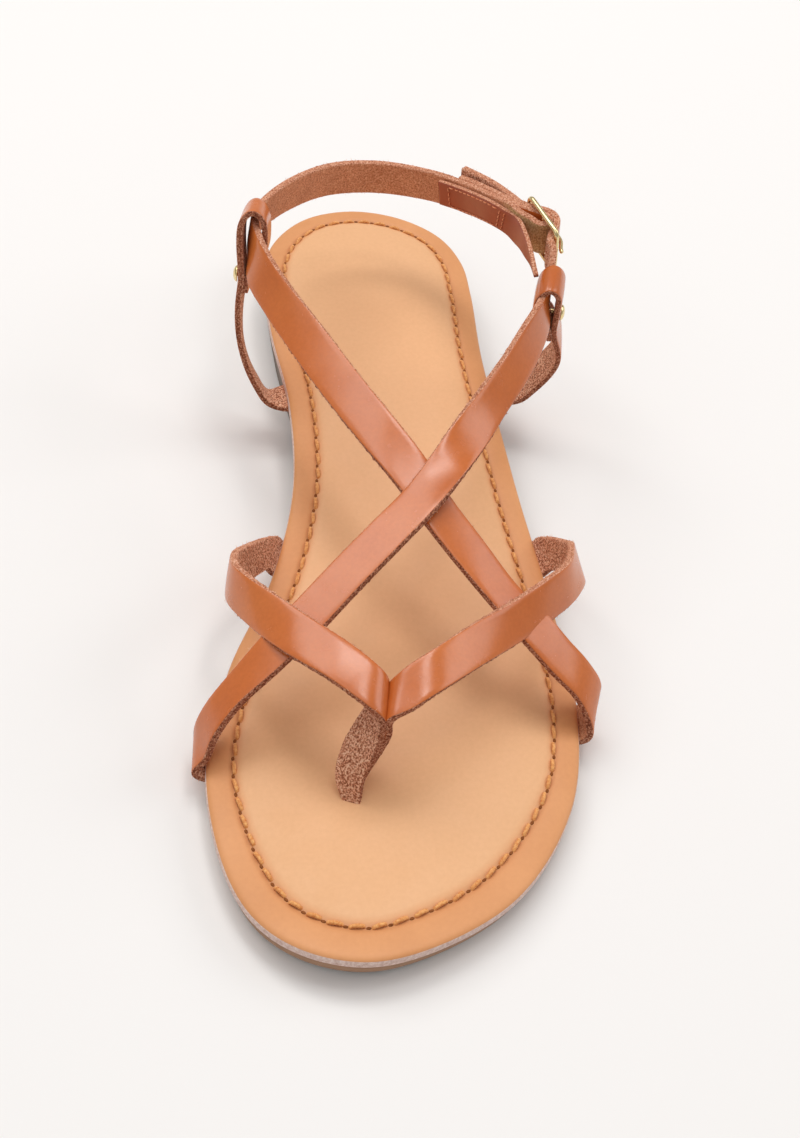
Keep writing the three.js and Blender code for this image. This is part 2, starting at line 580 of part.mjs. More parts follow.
// Brass rivet: domed head, shank through both leathers and a small tail, or its room with the gap
function rivet(spec, grow) {
  const head = RIVET_HEAD_RADIUS + grow;
  const shank = RIVET_SHANK_RADIUS + grow;
  const tail = RIVET_TAIL_RADIUS + grow;
  const profile = [
    [0, -spec.tail - RIVET_TAIL_HEIGHT - grow],
    [tail, -spec.tail - RIVET_TAIL_HEIGHT - grow],
    [tail, -spec.tail + grow],
    [shank, -spec.tail + grow],
    [shank, spec.head - grow],
    [head, spec.head - grow],
    [head * DOME_SHOULDER.radius, spec.head + RIVET_HEAD_HEIGHT * DOME_SHOULDER.height],
    [head * DOME_TOP.radius, spec.head + RIVET_HEAD_HEIGHT * DOME_TOP.height],
    [0, spec.head + RIVET_HEAD_HEIGHT + grow],
  ];
  const lathe = new THREE.LatheGeometry(profile.map(([x, y]) => new THREE.Vector2(x, y)), RIVET_SIDES);
  const outward = V(spec.out).normalize();
  lathe.applyQuaternion(new THREE.Quaternion().setFromUnitVectors(new THREE.Vector3(0, 1, 0), outward));
  lathe.translate(...spec.at);
  return solid(lathe);
}

// Solids and cuts
const wasm = await Module();
wasm.setup();

function solid(geometry) {
  const bare = new THREE.BufferGeometry();
  bare.setAttribute('position', geometry.getAttribute('position').clone());
  if (geometry.index) bare.setIndex(geometry.index.clone());
  const merged = mergeVertices(bare, 1e-4);
  return new wasm.Manifold(new wasm.Mesh({
    numProp: 3,
    vertProperties: new Float32Array(merged.getAttribute('position').array),
    triVerts: new Uint32Array(merged.index.array),
  }));
}

function toGeometry(manifold) {
  const mesh = manifold.getMesh();
  const geometry = new THREE.BufferGeometry();
  geometry.setAttribute('position', new THREE.Float32BufferAttribute(Array.from(mesh.vertProperties), 3));
  geometry.setIndex(Array.from(mesh.triVerts));
  geometry.computeVertexNormals();
  return geometry;
}

const LEATHER = { color: 0xc87341, roughness: 0.55, metalness: 0 };
const FOOTBED = { color: 0xe9b88a, roughness: 0.7, metalness: 0 };
const SOLE = { color: 0x968070, roughness: 0.85, metalness: 0 };
const HEEL = { color: 0x8c8278, roughness: 0.8, metalness: 0 };
const LINING = { color: 0x963f1c, roughness: 0.6, metalness: 0 };
const BRASS = { color: 0xd7be6e, roughness: 0.3, metalness: 1 };

const part = new THREE.Group();
part.name = 'gladiator_sandal';
part.position.set(...ORIGIN_SHIFT);

function place(name, geometry, look) {
  const mesh = new THREE.Mesh(geometry, new THREE.MeshStandardMaterial(look));
  mesh.name = name;
  part.add(mesh);
}

const strapRooms = [
  bandRoom(MEDIAL_ARM, STRAP_THICKNESS),
  bandRoom(LATERAL_ARM, STRAP_THICKNESS),
  bandRoom(CROSSING_STRAP, STRAP_THICKNESS),
  bandRoom(HEEL_STRAP, STRAP_THICKNESS, HEEL_STRAP_FOLD),
];
const loopRooms = [INNER_LOOP, OUTER_LOOP].map((rows) => bandRoom(rows, LOOP_THICKNESS, LOOP_FOLD));
const rivetRooms = RIVETS.map((spec) => rivet(spec, GAP));

const cutAll = (body, cuts) => cuts.reduce((left, cut) => left.subtract(cut), body);

const insole = cutAll(solid(layer(INSOLE_ROWS, soleHeight)), [...strapRooms, ...loopRooms]);
const outsole = cutAll(solid(layer(OUTSOLE_ROWS, soleHeight)), [...strapRooms, ...loopRooms]);
const heelBlock = solid(layer(HEEL_ROWS, heelHeight)).subtract(solid(heelBreastCut()));

const prong = prongPath();
const prongStart = prong[0].clone().add(prong[0].clone().sub(prong[1]).setLength(GAP));
const prongTip = prong[prong.length - 1];
const prongEnd = prongTip.clone().add(prongTip.clone().sub(prong[prong.length - 2]).setLength(GAP));
const frameRoom = buckleBody(GAP);
const prongRoom = solid(wire([prongStart, ...prong, prongEnd], PRONG_RADIUS + GAP, WIRE_SIDES, false));

const straps = [
  band(MEDIAL_ARM, STRAP_THICKNESS),
  band(LATERAL_ARM, STRAP_THICKNESS),
  band(CROSSING_STRAP, STRAP_THICKNESS),
  band(HEEL_STRAP, STRAP_THICKNESS, HEEL_STRAP_FOLD),
];
const upper = cutAll(straps.reduce((sum, strap) => sum.add(strap)), [prongRoom, frameRoom]);

const loopCuts = [strapRooms[2], strapRooms[3], ...rivetRooms];
const innerLoop = cutAll(band(INNER_LOOP, LOOP_THICKNESS, LOOP_FOLD), loopCuts);
const outerLoop = cutAll(band(OUTER_LOOP, LOOP_THICKNESS, LOOP_FOLD), loopCuts);
const guardCuts = [strapRooms[2], strapRooms[3], loopRooms[1], frameRoom];
const guard = cutAll(band(GUARD, GUARD_THICKNESS), guardCuts);

place('insole', toGeometry(insole), FOOTBED);
place('outsole', toGeometry(outsole), SOLE);
place('heel_block', toGeometry(heelBlock), HEEL);
place('upper', toGeometry(upper), LEATHER);
place('inner_side_loop', toGeometry(innerLoop), LEATHER);
place('outer_side_loop', toGeometry(outerLoop), LEATHER);
place('buckle_guard', toGeometry(guard), LINING);
place('buckle_frame', toGeometry(buckleBody(0)), BRASS);
place('buckle_prong', toGeometry(solid(wire(prong, PRONG_RADIUS, WIRE_SIDES, false))), BRASS);
for (const spec of RIVETS) place(spec.name, toGeometry(rivet(spec, 0)), BRASS);

export default part;
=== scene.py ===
"""Leather gladiator sandal: the looks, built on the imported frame, in metres."""

import math
from collections import namedtuple

import bpy
import numpy as np
from mathutils import Matrix, Vector


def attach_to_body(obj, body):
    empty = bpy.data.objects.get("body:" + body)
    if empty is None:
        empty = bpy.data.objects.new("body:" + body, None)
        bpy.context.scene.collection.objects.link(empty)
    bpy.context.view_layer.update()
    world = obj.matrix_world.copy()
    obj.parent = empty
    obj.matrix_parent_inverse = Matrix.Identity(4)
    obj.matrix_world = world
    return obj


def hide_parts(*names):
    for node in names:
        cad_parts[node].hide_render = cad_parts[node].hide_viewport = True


MM = 0.001

# From the frame of the rows below to the part's own, in millimetres
ORIGIN_SHIFT = (0.17, 0.03, 0.0)

# Sizes in millimetres
GAP = 0.3
STRAP_WIDTH = 9.9
STRAP_THICKNESS = 1.9
LOOP_THICKNESS = 1.6
GUARD_THICKNESS = 1.2
WIRE_RADIUS = 0.7
BAR_RADIUS = 0.6
PRONG_RADIUS = 0.55
FOREFOOT_TOP = 8.0
HEEL_TOP = 16.0
RISE_START_Y = -49.0
RISE_END_Y = 54.0
SPRING_START_Y = -92.5
SPRING_RATE = 0.0024
HEEL_BREAST_Y = 40.5

# Distances from the footbed's outline over which its border fades and a painted shade darkens its groove
BORDER_FADE = (5.6, 8.2)
GROOVE_SHADE_SPAN = (5.0, 7.2)

RANDOM_SEED = 11

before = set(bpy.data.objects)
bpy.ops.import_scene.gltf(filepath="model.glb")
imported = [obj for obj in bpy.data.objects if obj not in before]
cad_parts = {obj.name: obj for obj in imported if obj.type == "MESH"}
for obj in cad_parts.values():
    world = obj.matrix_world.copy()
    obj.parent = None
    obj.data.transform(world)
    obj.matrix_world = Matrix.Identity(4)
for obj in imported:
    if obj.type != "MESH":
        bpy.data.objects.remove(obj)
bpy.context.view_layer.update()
rng = np.random.default_rng(RANDOM_SEED)


def table(columns, rows):
    """Rows with named columns."""
    kind = namedtuple("Row", columns)
    return [kind(*row) for row in rows]


# Buckle: centre, direction of the strap, outward and upward directions, and sizes of the frame
BUCKLE_CENTRE = np.array((42.5, 58.8, 57.2))
BUCKLE_ALONG = np.array((-0.312, 0.949, 0.039))
BUCKLE_OUT = np.array((0.943, 0.304, 0.139))
BUCKLE_UP = np.array((-0.12, -0.08, 0.99))
BUCKLE_HALF_LENGTH = 7.8
BUCKLE_HALF_HEIGHT = 6.4
BUCKLE_CORNER = 1.8

# Strap ends and prong around the buckle, as distances from its centre bar along the strap and outward
UNDER_RAIL = -(WIRE_RADIUS + GAP + STRAP_THICKNESS / 2)
OVER_BAR = BAR_RADIUS + GAP + STRAP_THICKNESS / 2
OVER_FOLD = OVER_BAR + STRAP_THICKNESS
BILLET_AT_BUCKLE = table("along out", [
    (-9.8, UNDER_RAIL),
    (-7.8, UNDER_RAIL),
    (-4.9, 0.4),
    (-2.4, 2.9),
    (0.3, OVER_FOLD),
    (2.9, 2.7),
    (5.2, 0.2),
    (7.8, UNDER_RAIL),
])
FOLD_AT_BUCKLE = table("along out", [
    (9.3, -4.9),
    (5.2, -4.1),
    (1.4, -2.3),
    (-0.7, -OVER_BAR),
    (-1.95, 0),
    (-0.7, OVER_BAR),
    (1.4, 1.6),
    (3.8, -0.1),
    (6.6, -2.4),
])
PRONG_AT_BUCKLE = table("along out", [
    (0.6, -1.45),
    (1.55, -0.6),
    (1.35, 0.9),
    (0.2, 2.1),
    (-2.2, 3.2),
    (-4.8, 3.1),
    (-7.5, 1.8),
    (-8.9, 1.4),
])


def at_buckle(along, out):
    return BUCKLE_CENTRE + BUCKLE_ALONG * along + BUCKLE_OUT * out


def around_buckle(places):
    """Rows of a strap end that stands upright at places around the buckle."""
    half = BUCKLE_UP * STRAP_WIDTH / 2
    middles = [at_buckle(place.along, place.out) for place in places]
    return [(middle + half, middle - half) for middle in middles]


# Bands as rows from end to end, with the rear edge and the front edge of the leather's mid face
MEDIAL_ARM = table("rear front", [
    ((-16.5, -84.9, 2.6), (-12.9, -85.6, 3.6)),
    ((-16.7, -83.7, 7.6), (-13.1, -84.4, 8.6)),
    ((-18.5, -79.6, 12.5), (-12.9, -82.8, 13.4)),
    ((-16.6, -74.6, 17.7), (-11.2, -81.2, 18.7)),
    ((-11, -69.2, 25.7), (-9.4, -79, 25.8)),
    ((-8.2, -68.7, 32.4), (-9.8, -78.5, 31.1)),
    ((-9.6, -67.6, 35), (-12.8, -76.8, 33.4)),
    ((-15.7, -61.6, 36.2), (-20.7, -69.9, 34.5)),
    ((-23.4, -54, 35.5), (-28.5, -61.9, 32.4)),
    ((-31.1, -46.1, 34.8), (-34.2, -53.5, 29)),
    ((-36.8, -39.7, 33.8), (-38.3, -45.8, 26.1)),
    ((-39.7, -34.1, 31.7), (-40.8, -39.5, 23.4)),
    ((-39.7, -27.2, 28), (-41.1, -32.9, 19.9)),
    ((-35.7, -18.4, 21.2), (-37.7, -26.2, 15.2)),
    ((-30.8, -10.5, 14.7), (-33.4, -19.7, 11.7)),
    ((-27.8, -5.8, 9.5), (-30.9, -16.3, 9.5)),
    ((-27.1, -6, 7.9), (-30.3, -16.5, 7.9)),
    ((-25.1, -6.6, 7.2), (-28.3, -17.1, 7.2)),
    ((-18.3, -8.6, 7.2), (-21.4, -19.1, 7.2)),
])

LATERAL_ARM = table("rear front", [
    ((-15.9, -83.4, 1.8), (-12.4, -84.1, 2.8)),
    ((-16.1, -82.2, 6.8), (-12.6, -82.9, 7.8)),
    ((-17.7, -78.3, 11.5), (-12.5, -81.5, 12.5)),
    ((-15.5, -73.7, 16.6), (-10.6, -80.3, 17.7)),
    ((-9.5, -68.8, 25), (-7.9, -78.6, 25)),
    ((-6.5, -69, 32.8), (-8.1, -78.8, 31.5)),
    ((-4.5, -67.7, 34.9), (-3.9, -77.4, 32.7)),
    ((1.6, -64.1, 36.7), (2.6, -73.4, 33.7)),
    ((12.1, -55.9, 36), (13.3, -64.6, 31.6)),
    ((22.3, -48.5, 34.8), (23.2, -55.9, 28.5)),
    ((32.3, -40.4, 33.8), (33.7, -46.4, 26)),
    ((38.2, -34.1, 31.9), (40, -39.5, 23.8)),
    ((41.5, -24.7, 27.3), (44.9, -30.6, 20)),
    ((43.2, -18.2, 21.4), (44.8, -26, 15.4)),
    ((40.5, -10.7, 14.8), (43.1, -19.9, 11.8)),
    ((39.4, -6.4, 9.5), (40.6, -17.3, 9.5)),
    ((38.7, -6.4, 7.9), (40, -17.4, 7.9)),
    ((36.6, -6.7, 7.2), (37.9, -17.6, 7.2)),
    ((29.6, -7.5, 7.2), (30.8, -18.4, 7.2)),
])

CROSSING_STRAP = table("rear front", [
    ((-38.5, -65.5, 4.8), (-39.5, -76.1, 4.8)),
    ((-45.6, -64.9, 4.8), (-46.5, -75.4, 4.8)),
    ((-47.8, -64.7, 5.7), (-48.8, -75.2, 5.7)),
    ((-48.7, -64.6, 7.6), (-49.6, -75.2, 7.6)),
    ((-48.5, -64.3, 12.1), (-46.9, -74.2, 11.3)),
    ((-45.8, -62.3, 17.6), (-45.1, -72.1, 16.3)),
    ((-40.3, -58.2, 23.2), (-40.2, -68.1, 22.3)),
    ((-33.7, -52.7, 28.9), (-30.8, -62.1, 28.3)),
    ((-26.1, -46.2, 33.2), (-21.5, -55, 33.1)),
    ((-17, -37.6, 37.3), (-11.8, -46.1, 37.9)),
    ((-8.6, -29.8, 40.7), (-3, -37.9, 41.4)),
    ((0.9, -20.3, 43.7), (7.1, -27.8, 44.9)),
    ((11, -6.9, 49.1), (19, -10.5, 45.1)),
    ((18.4, 2.5, 51.9), (25.8, 1.6, 45.3)),
    ((26.2, 13.4, 53.9), (32.9, 13.1, 46.5)),
    ((32.4, 23.6, 55), (38.5, 24.4, 47.2)),
    ((37.3, 31, 56.4), (41.4, 33, 47.6)),
    ((40.9, 38, 57.2), (42.2, 39.8, 47.5)),
    ((42.6, 44.2, 59.2), (43.2, 46.2, 49.5)),
    *around_buckle(BILLET_AT_BUCKLE),
    ((36.7, 72.3, 59), (37.7, 73.5, 49.2)),
    ((32.7, 83.6, 55.8), (34, 84, 46)),
    ((26.4, 92.8, 53.7), (27.4, 93.1, 43.9)),
])

HEEL_STRAP = table("rear front", [
    ((33.3, -56.3, 4.8), (32.4, -66.9, 4.8)),
    ((40.4, -56.9, 4.8), (39.5, -67.5, 4.8)),
    ((42.6, -57.1, 5.7), (41.7, -67.7, 5.7)),
    ((43.5, -57.2, 7.6), (42.6, -67.7, 7.6)),
    ((45.5, -56.7, 13.3), (41.6, -65.8, 11.6)),
    ((41.6, -54.4, 19.6), (38.1, -63.3, 17.3)),
    ((36.7, -51.6, 24.1), (32.6, -60.4, 22)),
    ((32.3, -47.8, 27.6), (27.1, -56.2, 26.3)),
    ((25.1, -41, 30.9), (19.6, -49.3, 31.6)),
    ((17.4, -31.8, 36.6), (10.8, -39.3, 36.7)),
    ((10.2, -22.3, 41.3), (2.8, -28.9, 41.2)),
    ((5.6, -14.2, 44.8), (-2.6, -19.5, 43.1)),
    ((-0.5, -4.2, 47.5), (-8.8, -8.5, 43.8)),
    ((-8.7, 10.9, 49.1), (-16.9, 7.2, 44.4)),
    ((-17.4, 27.1, 51.4), (-25.2, 24.3, 45.7)),
    ((-24.5, 38.5, 54.2), (-30.8, 37.6, 46.6)),
    ((-29.5, 47.6, 56.5), (-34.4, 47.7, 47.8)),
    ((-32.6, 56.7, 58.6), (-33.8, 56.7, 48.6)),
    ((-32.6, 62.8, 58.8), (-33.6, 62.8, 48.8)),
    ((-29.9, 69.8, 57.8), (-31.4, 69.7, 47.9)),
    ((-21.8, 82.8, 55.2), (-23.3, 82.4, 45.3)),
    ((-9.2, 96.5, 50.9), (-10.4, 96.2, 41)),
    ((4.5, 101.1, 48.7), (4.6, 101.2, 38.7)),
    ((18, 95.3, 50.2), (19.8, 95.5, 40.4)),
    ((26.1, 85.6, 53.5), (28.2, 85.2, 43.8)),
    ((32.4, 70.9, 59.5), (33, 72.5, 49.7)),
    *around_buckle(FOLD_AT_BUCKLE),
    ((34, 71.9, 59.4), (34.6, 73.5, 49.6)),
    ((27.6, 86.7, 53.7), (29.6, 86.4, 43.9)),
    ((25.2, 89.9, 52.6), (27.1, 89.7, 42.8)),
])

INNER_LOOP = table("rear front", [
    ((-16.1, 48.3, 12.5), (-15.1, 38.3, 12.5)),
    ((-23.4, 47.6, 12.5), (-22.5, 37.6, 12.5)),
    ((-28.5, 47.2, 10.6), (-28.5, 37.9, 14.4)),
    ((-31.9, 49, 15.1), (-31.9, 39.8, 18.9)),
    ((-34.4, 51, 20), (-34.4, 41.8, 23.8)),
    ((-35.9, 53.5, 26.1), (-36.3, 44.2, 29.9)),
    ((-36, 55.9, 32.1), (-37.1, 46.7, 35.9)),
    ((-35.5, 57.9, 37.1), (-37, 48.7, 40.9)),
    ((-34.9, 60.1, 42.5), (-36.4, 50.9, 46.3)),
    ((-35.2, 61.8, 46.7), (-36.7, 52.6, 50.5)),
    ((-35.5, 63.7, 51.3), (-37, 54.4, 55.1)),
    ((-35, 65.4, 56.6), (-36.5, 56.2, 59.8)),
    ((-32.4, 66.4, 60), (-33.9, 57.1, 62.4)),
    ((-29.7, 65.7, 57.8), (-31.2, 56.5, 60.6)),
    ((-29, 64.2, 52.6), (-30.5, 55, 56.4)),
    ((-29.6, 62.6, 47.8), (-31.1, 53.4, 50.4)),
    ((-32, 61.6, 45), (-33.5, 52.3, 47.9)),
    ((-33.5, 60.6, 42.8), (-35, 51.4, 46.2)),
    ((-33.9, 59, 39), (-35.4, 49.7, 42.6)),
])

OUTER_LOOP = table("rear front", [
    ((24.5, 50.3, 12.7), (25, 40.3, 12.7)),
    ((31.9, 50.6, 12.7), (32.4, 40.6, 12.7)),
    ((40.7, 50.2, 15), (40.7, 40.3, 13.8)),
    ((43.9, 49.6, 19.4), (43.9, 39.7, 18.2)),
    ((47.2, 49, 24.8), (46.8, 39.1, 23.6)),
    ((49.3, 47.8, 30.8), (48.2, 38, 29.7)),
    ((49.1, 46.9, 35.5), (47.5, 37.1, 34.4)),
    ((47.8, 45.9, 40), (45.7, 36.3, 38.9)),
    ((47, 45.3, 43.4), (44.6, 35.7, 42.3)),
    ((46.6, 44.5, 47.4), (44.1, 34.9, 46.8)),
    ((46.2, 43.6, 51.9), (43.7, 34.1, 51.3)),
    ((45.4, 42.8, 56.9), (42.9, 33.2, 56.2)),
    ((42.7, 42.6, 59.2), (40.2, 32.9, 58.5)),
    ((40.6, 42.8, 57.1), (38.1, 33.2, 56.4)),
    ((40.3, 43.4, 53), (37.8, 33.9, 51.9)),
    ((41.1, 44.1, 48.7), (38.6, 34.5, 47.6)),
    ((43.6, 44.5, 46.4), (41.1, 35, 45.3)),
    ((45.2, 45, 44.2), (42.8, 35.4, 43.1)),
    ((46, 45.7, 40.8), (43.8, 36, 39.7)),
])

GUARD = table("rear front", [
    ((19.8, 91.2, 50.2), (21.2, 91.3, 42.3)),
    ((24.7, 84.5, 52.7), (26.6, 84.2, 45)),
    ((30.7, 70.2, 58.6), (31.2, 71.5, 50.7)),
    ((33.4, 65.2, 59.8), (33.6, 67, 52)),
    ((35, 63, 60.2), (35, 64, 52.6)),
    ((36.2, 60, 60.5), (36.3, 59.3, 53.3)),
    ((36.8, 55.9, 60.5), (36.7, 54.8, 55)),
    ((37.2, 51.1, 60.3), (37.2, 49.5, 56.2)),
    ((37.4, 47.2, 59.8), (37.8, 45.5, 57)),
    ((37.5, 42.9, 59.2), (37.8, 41.7, 57.7)),
    ((37.6, 39.6, 58.7), (37.8, 39.4, 58)),
])

# Footbed seen from above, from the heel by the outer side to the toe and back by the inner side
FOOTBED_OUTLINE = table("x y", [
    (0.5, 123.7),
    (15, 120.7),
    (26.4, 111.9),
    (31.8, 99.5),
    (32.8, 84.9),
    (32.4, 55.1),
    (35.4, 12.2),
    (40.2, -31),
    (41, -60.1),
    (34.8, -87.5),
    (17.5, -110.8),
    (-9, -123.3),
    (-23.1, -122.3),
    (-35, -115.3),
    (-42.5, -103.2),
    (-47.2, -74.4),
    (-41.3, -46),
    (-30.1, -19.1),
    (-23.5, 8.6),
    (-23.1, 37.4),
    (-26.8, 66.8),
    (-27.6, 95.5),
    (-23.2, 108.9),
    (-13.6, 119.4),
])

# Rivets: place, outward direction, and how far from the place the head and the tail lie
RIVETS = (
    {"name": "inner_side", "at": (-35.3, 55.6, 44.2), "out": (-1, 0.05, 0.02), "head": 1.8, "tail": 3.0},
    {"name": "outer_side", "at": (44.9, 41.5, 45.2), "out": (0.97, -0.24, 0.05), "head": 1.9, "tail": 2.7},
)

# Curves and meshes


def smoothstep(t):
    t = np.clip(t, 0, 1)
    return t * t * (3 - 2 * t)


def footbed_top(y):
    """Height of the footbed's border, which rises to the heel and springs up at the toe."""
    rise = smoothstep((y - RISE_START_Y) / (RISE_END_Y - RISE_START_Y))
    spring = np.maximum(0, SPRING_START_Y - y)
    return FOREFOOT_TOP + (HEEL_TOP - FOREFOOT_TOP) * rise + SPRING_RATE * spring * spring


def catmull(knots, closed, steps):
    """Centripetal Catmull-Rom points, the same number of steps between each two knots."""
    p = np.asarray(knots, float)
    n = len(p)
    spans = n if closed else n - 1
    out = []
    for i in range(spans):
        if closed:
            a, b, c, d = p[(i - 1) % n], p[i], p[(i + 1) % n], p[(i + 2) % n]
        else:
            b, c = p[i], p[i + 1]
            a = p[i - 1] if i > 0 else 2 * b - c
            d = p[i + 2] if i + 2 < n else 2 * c - b
        da = max(np.linalg.norm(b - a), 1e-6) ** 0.5
        db = max(np.linalg.norm(c - b), 1e-6) ** 0.5
        dc = max(np.linalg.norm(d - c), 1e-6) ** 0.5
        m1 = ((b - a) / da - (c - a) / (da + db) + (c - b) / db) * db
        m2 = ((c - b) / db - (d - b) / (db + dc) + (d - c) / dc) * db
        t = (np.arange(steps) / steps)[:, None]
        out.append(b + m1 * t + (-3 * b + 3 * c - 2 * m1 - m2) * t**2 + (2 * b - 2 * c + m1 + m2) * t**3)
    if not closed:
        out.append(p[-1:])
    return np.concatenate(out)


def run_along(points):
    """Distance along a line from its first point to each point."""
    return np.concatenate([[0], np.cumsum(np.linalg.norm(np.diff(points, axis=0), axis=1))])


def skin(rings, sides, closed=False, caps=False):
    """Faces between rings of points, with the last ring joined to the first or with two end faces."""
    faces = []
    for i in range(rings if closed else rings - 1):
        a, b = i * sides, (i + 1) % rings * sides
        for k in range(sides):
            m = (k + 1) % sides
            faces.append((a + k, a + m, b + m, b + k))
    if caps:
        faces.append(tuple(range(sides - 1, -1, -1)))
        faces.append(tuple((rings - 1) * sides + k for k in range(sides)))
    return faces


def in_metres(verts):
    return ((np.asarray(verts, float) + np.array(ORIGIN_SHIFT)) * MM).tolist()


def linked(name, data):
    obj = bpy.data.objects.new(name, data)
    bpy.context.scene.collection.objects.link(obj)
    return obj


def make_object(name, verts, faces, materials, face_materials=None):
    """Smooth mesh object from millimetres in the shoe's frame."""
    mesh = bpy.data.meshes.new(name)
    mesh.from_pydata(in_metres(verts), [], faces)
    for material in materials:
        mesh.materials.append(material)
    if face_materials is not None:
        mesh.polygons.foreach_set("material_index", np.asarray(face_materials, np.int32))
    mesh.polygons.foreach_set("use_smooth", np.ones(len(mesh.polygons), bool))
    mesh.update()
    return linked(name, mesh)


def attach(obj, slot, *nodes):
    """Piece that takes the place of solids."""
    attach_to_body(obj, "root")
    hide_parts(*nodes)


def ride_extra(obj):
    """Piece that no solid stands for."""
    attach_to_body(obj, "root")


# Colours and materials

WHITE = (255, 255, 255)


def linear(rgb):
    """Colour for a shader from the usual 0 to 255 values."""
    c = np.asarray(rgb, float) / 255
    return tuple(np.where(c <= 0.04045, c / 12.92, ((c + 0.055) / 1.055) ** 2.4)) + (1.0,)


class Nodes:
    """Short way to write a node material."""

    def __init__(self, name):
        self.material = bpy.data.materials.new(name)
        self.material.use_nodes = True
        self.tree = self.material.node_tree
        self.shader = self.tree.nodes["Principled BSDF"]
        self.coord = self.tree.nodes.new("ShaderNodeTexCoord").outputs["Object"]

    def link(self, a, b):
        self.tree.links.new(a, b)

    def noise(self, scale, detail=3.0, rough=0.55, stretch=None):
        node = self.tree.nodes.new("ShaderNodeTexNoise")
        node.inputs["Scale"].default_value = scale
        node.inputs["Detail"].default_value = detail
        node.inputs["Roughness"].default_value = rough
        source = self.coord
        if stretch is not None:
            mapping = self.tree.nodes.new("ShaderNodeMapping")
            mapping.inputs["Scale"].default_value = stretch
            self.link(source, mapping.inputs["Vector"])
            source = mapping.outputs["Vector"]
        self.link(source, node.inputs["Vector"])
        return node.outputs["Fac"]

    def cells(self, scale):
        node = self.tree.nodes.new("ShaderNodeTexVoronoi")
        node.inputs["Scale"].default_value = scale
        self.link(self.coord, node.inputs["Vector"])
        return node.outputs["Distance"]

    def attribute(self, name):
        node = self.tree.nodes.new("ShaderNodeAttribute")
        node.attribute_name = name
        return node.outputs["Fac"]

    def ramp(self, value, stops):
        node = self.tree.nodes.new("ShaderNodeValToRGB")
        ramp = node.color_ramp
        while len(ramp.elements) < len(stops):
            ramp.elements.new(0.5)
        for element, (place, rgb) in zip(ramp.elements, stops):
            element.position = place
            element.color = linear(rgb)
        self.link(value, node.inputs["Fac"])
        return node.outputs["Color"]

    def span(self, value, low, high, to_low=0.0, to_high=1.0):
        node = self.tree.nodes.new("ShaderNodeMapRange")
        node.inputs["From Min"].default_value = low
        node.inputs["From Max"].default_value = high
        node.inputs["To Min"].default_value = to_low
        node.inputs["To Max"].default_value = to_high
        self.link(value, node.inputs["Value"])
        return node.outputs["Result"]

    def mix(self, factor, a, b, blend="MIX"):
        node = self.tree.nodes.new("ShaderNodeMix")
        node.data_type = "RGBA"
        node.blend_type = blend
        for socket, value in ((node.inputs["Factor"], factor), (node.inputs[6], a), (node.inputs[7], b)):
            if isinstance(value, bpy.types.NodeSocket):
                self.link(value, socket)
            elif isinstance(value, (int, float)):
                socket.default_value = value
            else:
                socket.default_value = linear(value)
        return node.outputs[2]

    def sum(self, a, b, share):
        node = self.tree.nodes.new("ShaderNodeMath")
        node.operation = "MULTIPLY_ADD"
        self.link(b, node.inputs[0])
        node.inputs[1].default_value = share
        self.link(a, node.inputs[2])
        return node.outputs[0]

    def bump(self, height, strength, distance):
        node = self.tree.nodes.new("ShaderNodeBump")
        node.inputs["Strength"].default_value = strength
        node.inputs["Distance"].default_value = distance
        self.link(height, node.inputs["Height"])
        self.link(node.outputs["Normal"], self.shader.inputs["Normal"])

    def set(self, **values):
        for key, value in values.items():
            self.shader.inputs[key.replace("_", " ")].default_value = value

    def out(self, name, socket):
        self.link(socket, self.shader.inputs[name])


def smooth_leather(name, base, deep, pale, low_rough=0.21, high_rough=0.28):
    """Polished vegetable-tanned leather with fine pores and soft uneven dye."""
    n = Nodes(name)
    tone = n.ramp(n.noise(38, 4.0), [(0.25, deep), (0.52, base), (0.8, pale)])
    fine = n.ramp(n.noise(1100, 3.0), [(0.3, (232, 228, 224)), (0.7, WHITE)])
    n.out("Base Color", n.mix(0.45, tone, fine, "MULTIPLY"))
    n.out("Roughness", n.span(n.noise(260, 4.0), 0.3, 0.7, low_rough, high_rough))
    n.bump(n.sum(n.noise(1600, 4.0), n.cells(1900), 0.5), 0.1, 0.0001)
    n.set(Specular_IOR_Level=0.65)
    return n.material


def suede(name, base, dark, pale, low=0.38, high=0.62):
    """Fibrous flesh side of the leather, mottled, and bare of dye where the beige attribute says so."""
    n = Nodes(name)
    grain = n.noise(2300, 3.0, 0.55)
    mottle = n.ramp(grain, [(low, dark), (0.5, base), (high, pale)])
    bare = n.ramp(grain, [(low, (150, 108, 62)), (0.5, (206, 164, 112)), (high, (236, 204, 158))])
    colour = n.mix(n.attribute("beige"), mottle, bare)
    broad = n.ramp(n.noise(160, 4.0), [(0.3, (224, 214, 208)), (0.7, WHITE)])
    n.out("Base Color", n.mix(0.6, colour, broad, "MULTIPLY"))
    n.bump(n.noise(2200, 6.0, 0.8), 0.8, 0.0004)
    n.set(Roughness=0.95, Specular_IOR_Level=0.2, Sheen_Weight=0.08, Sheen_Roughness=0.6)
    return n.material


def raw_edge(name, base, dark, pale):
    """Cut leather edge with loose fibres."""
    n = Nodes(name)
    n.out("Base Color", n.ramp(n.noise(2300, 3.0, 0.55), [(0.36, dark), (0.5, base), (0.66, pale)]))
    n.bump(n.noise(2200, 6.0, 0.75), 0.8, 0.0004)
    n.set(Roughness=0.92, Specular_IOR_Level=0.2)
    return n.material


def fibre_material():
    n = Nodes("loose_fibres")
    n.out("Base Color", n.ramp(n.noise(700, 2.0), [(0.35, (206, 138, 100)), (0.65, (250, 210, 176))]))
    n.set(Roughness=0.9, Specular_IOR_Level=0.2)
    return n.material


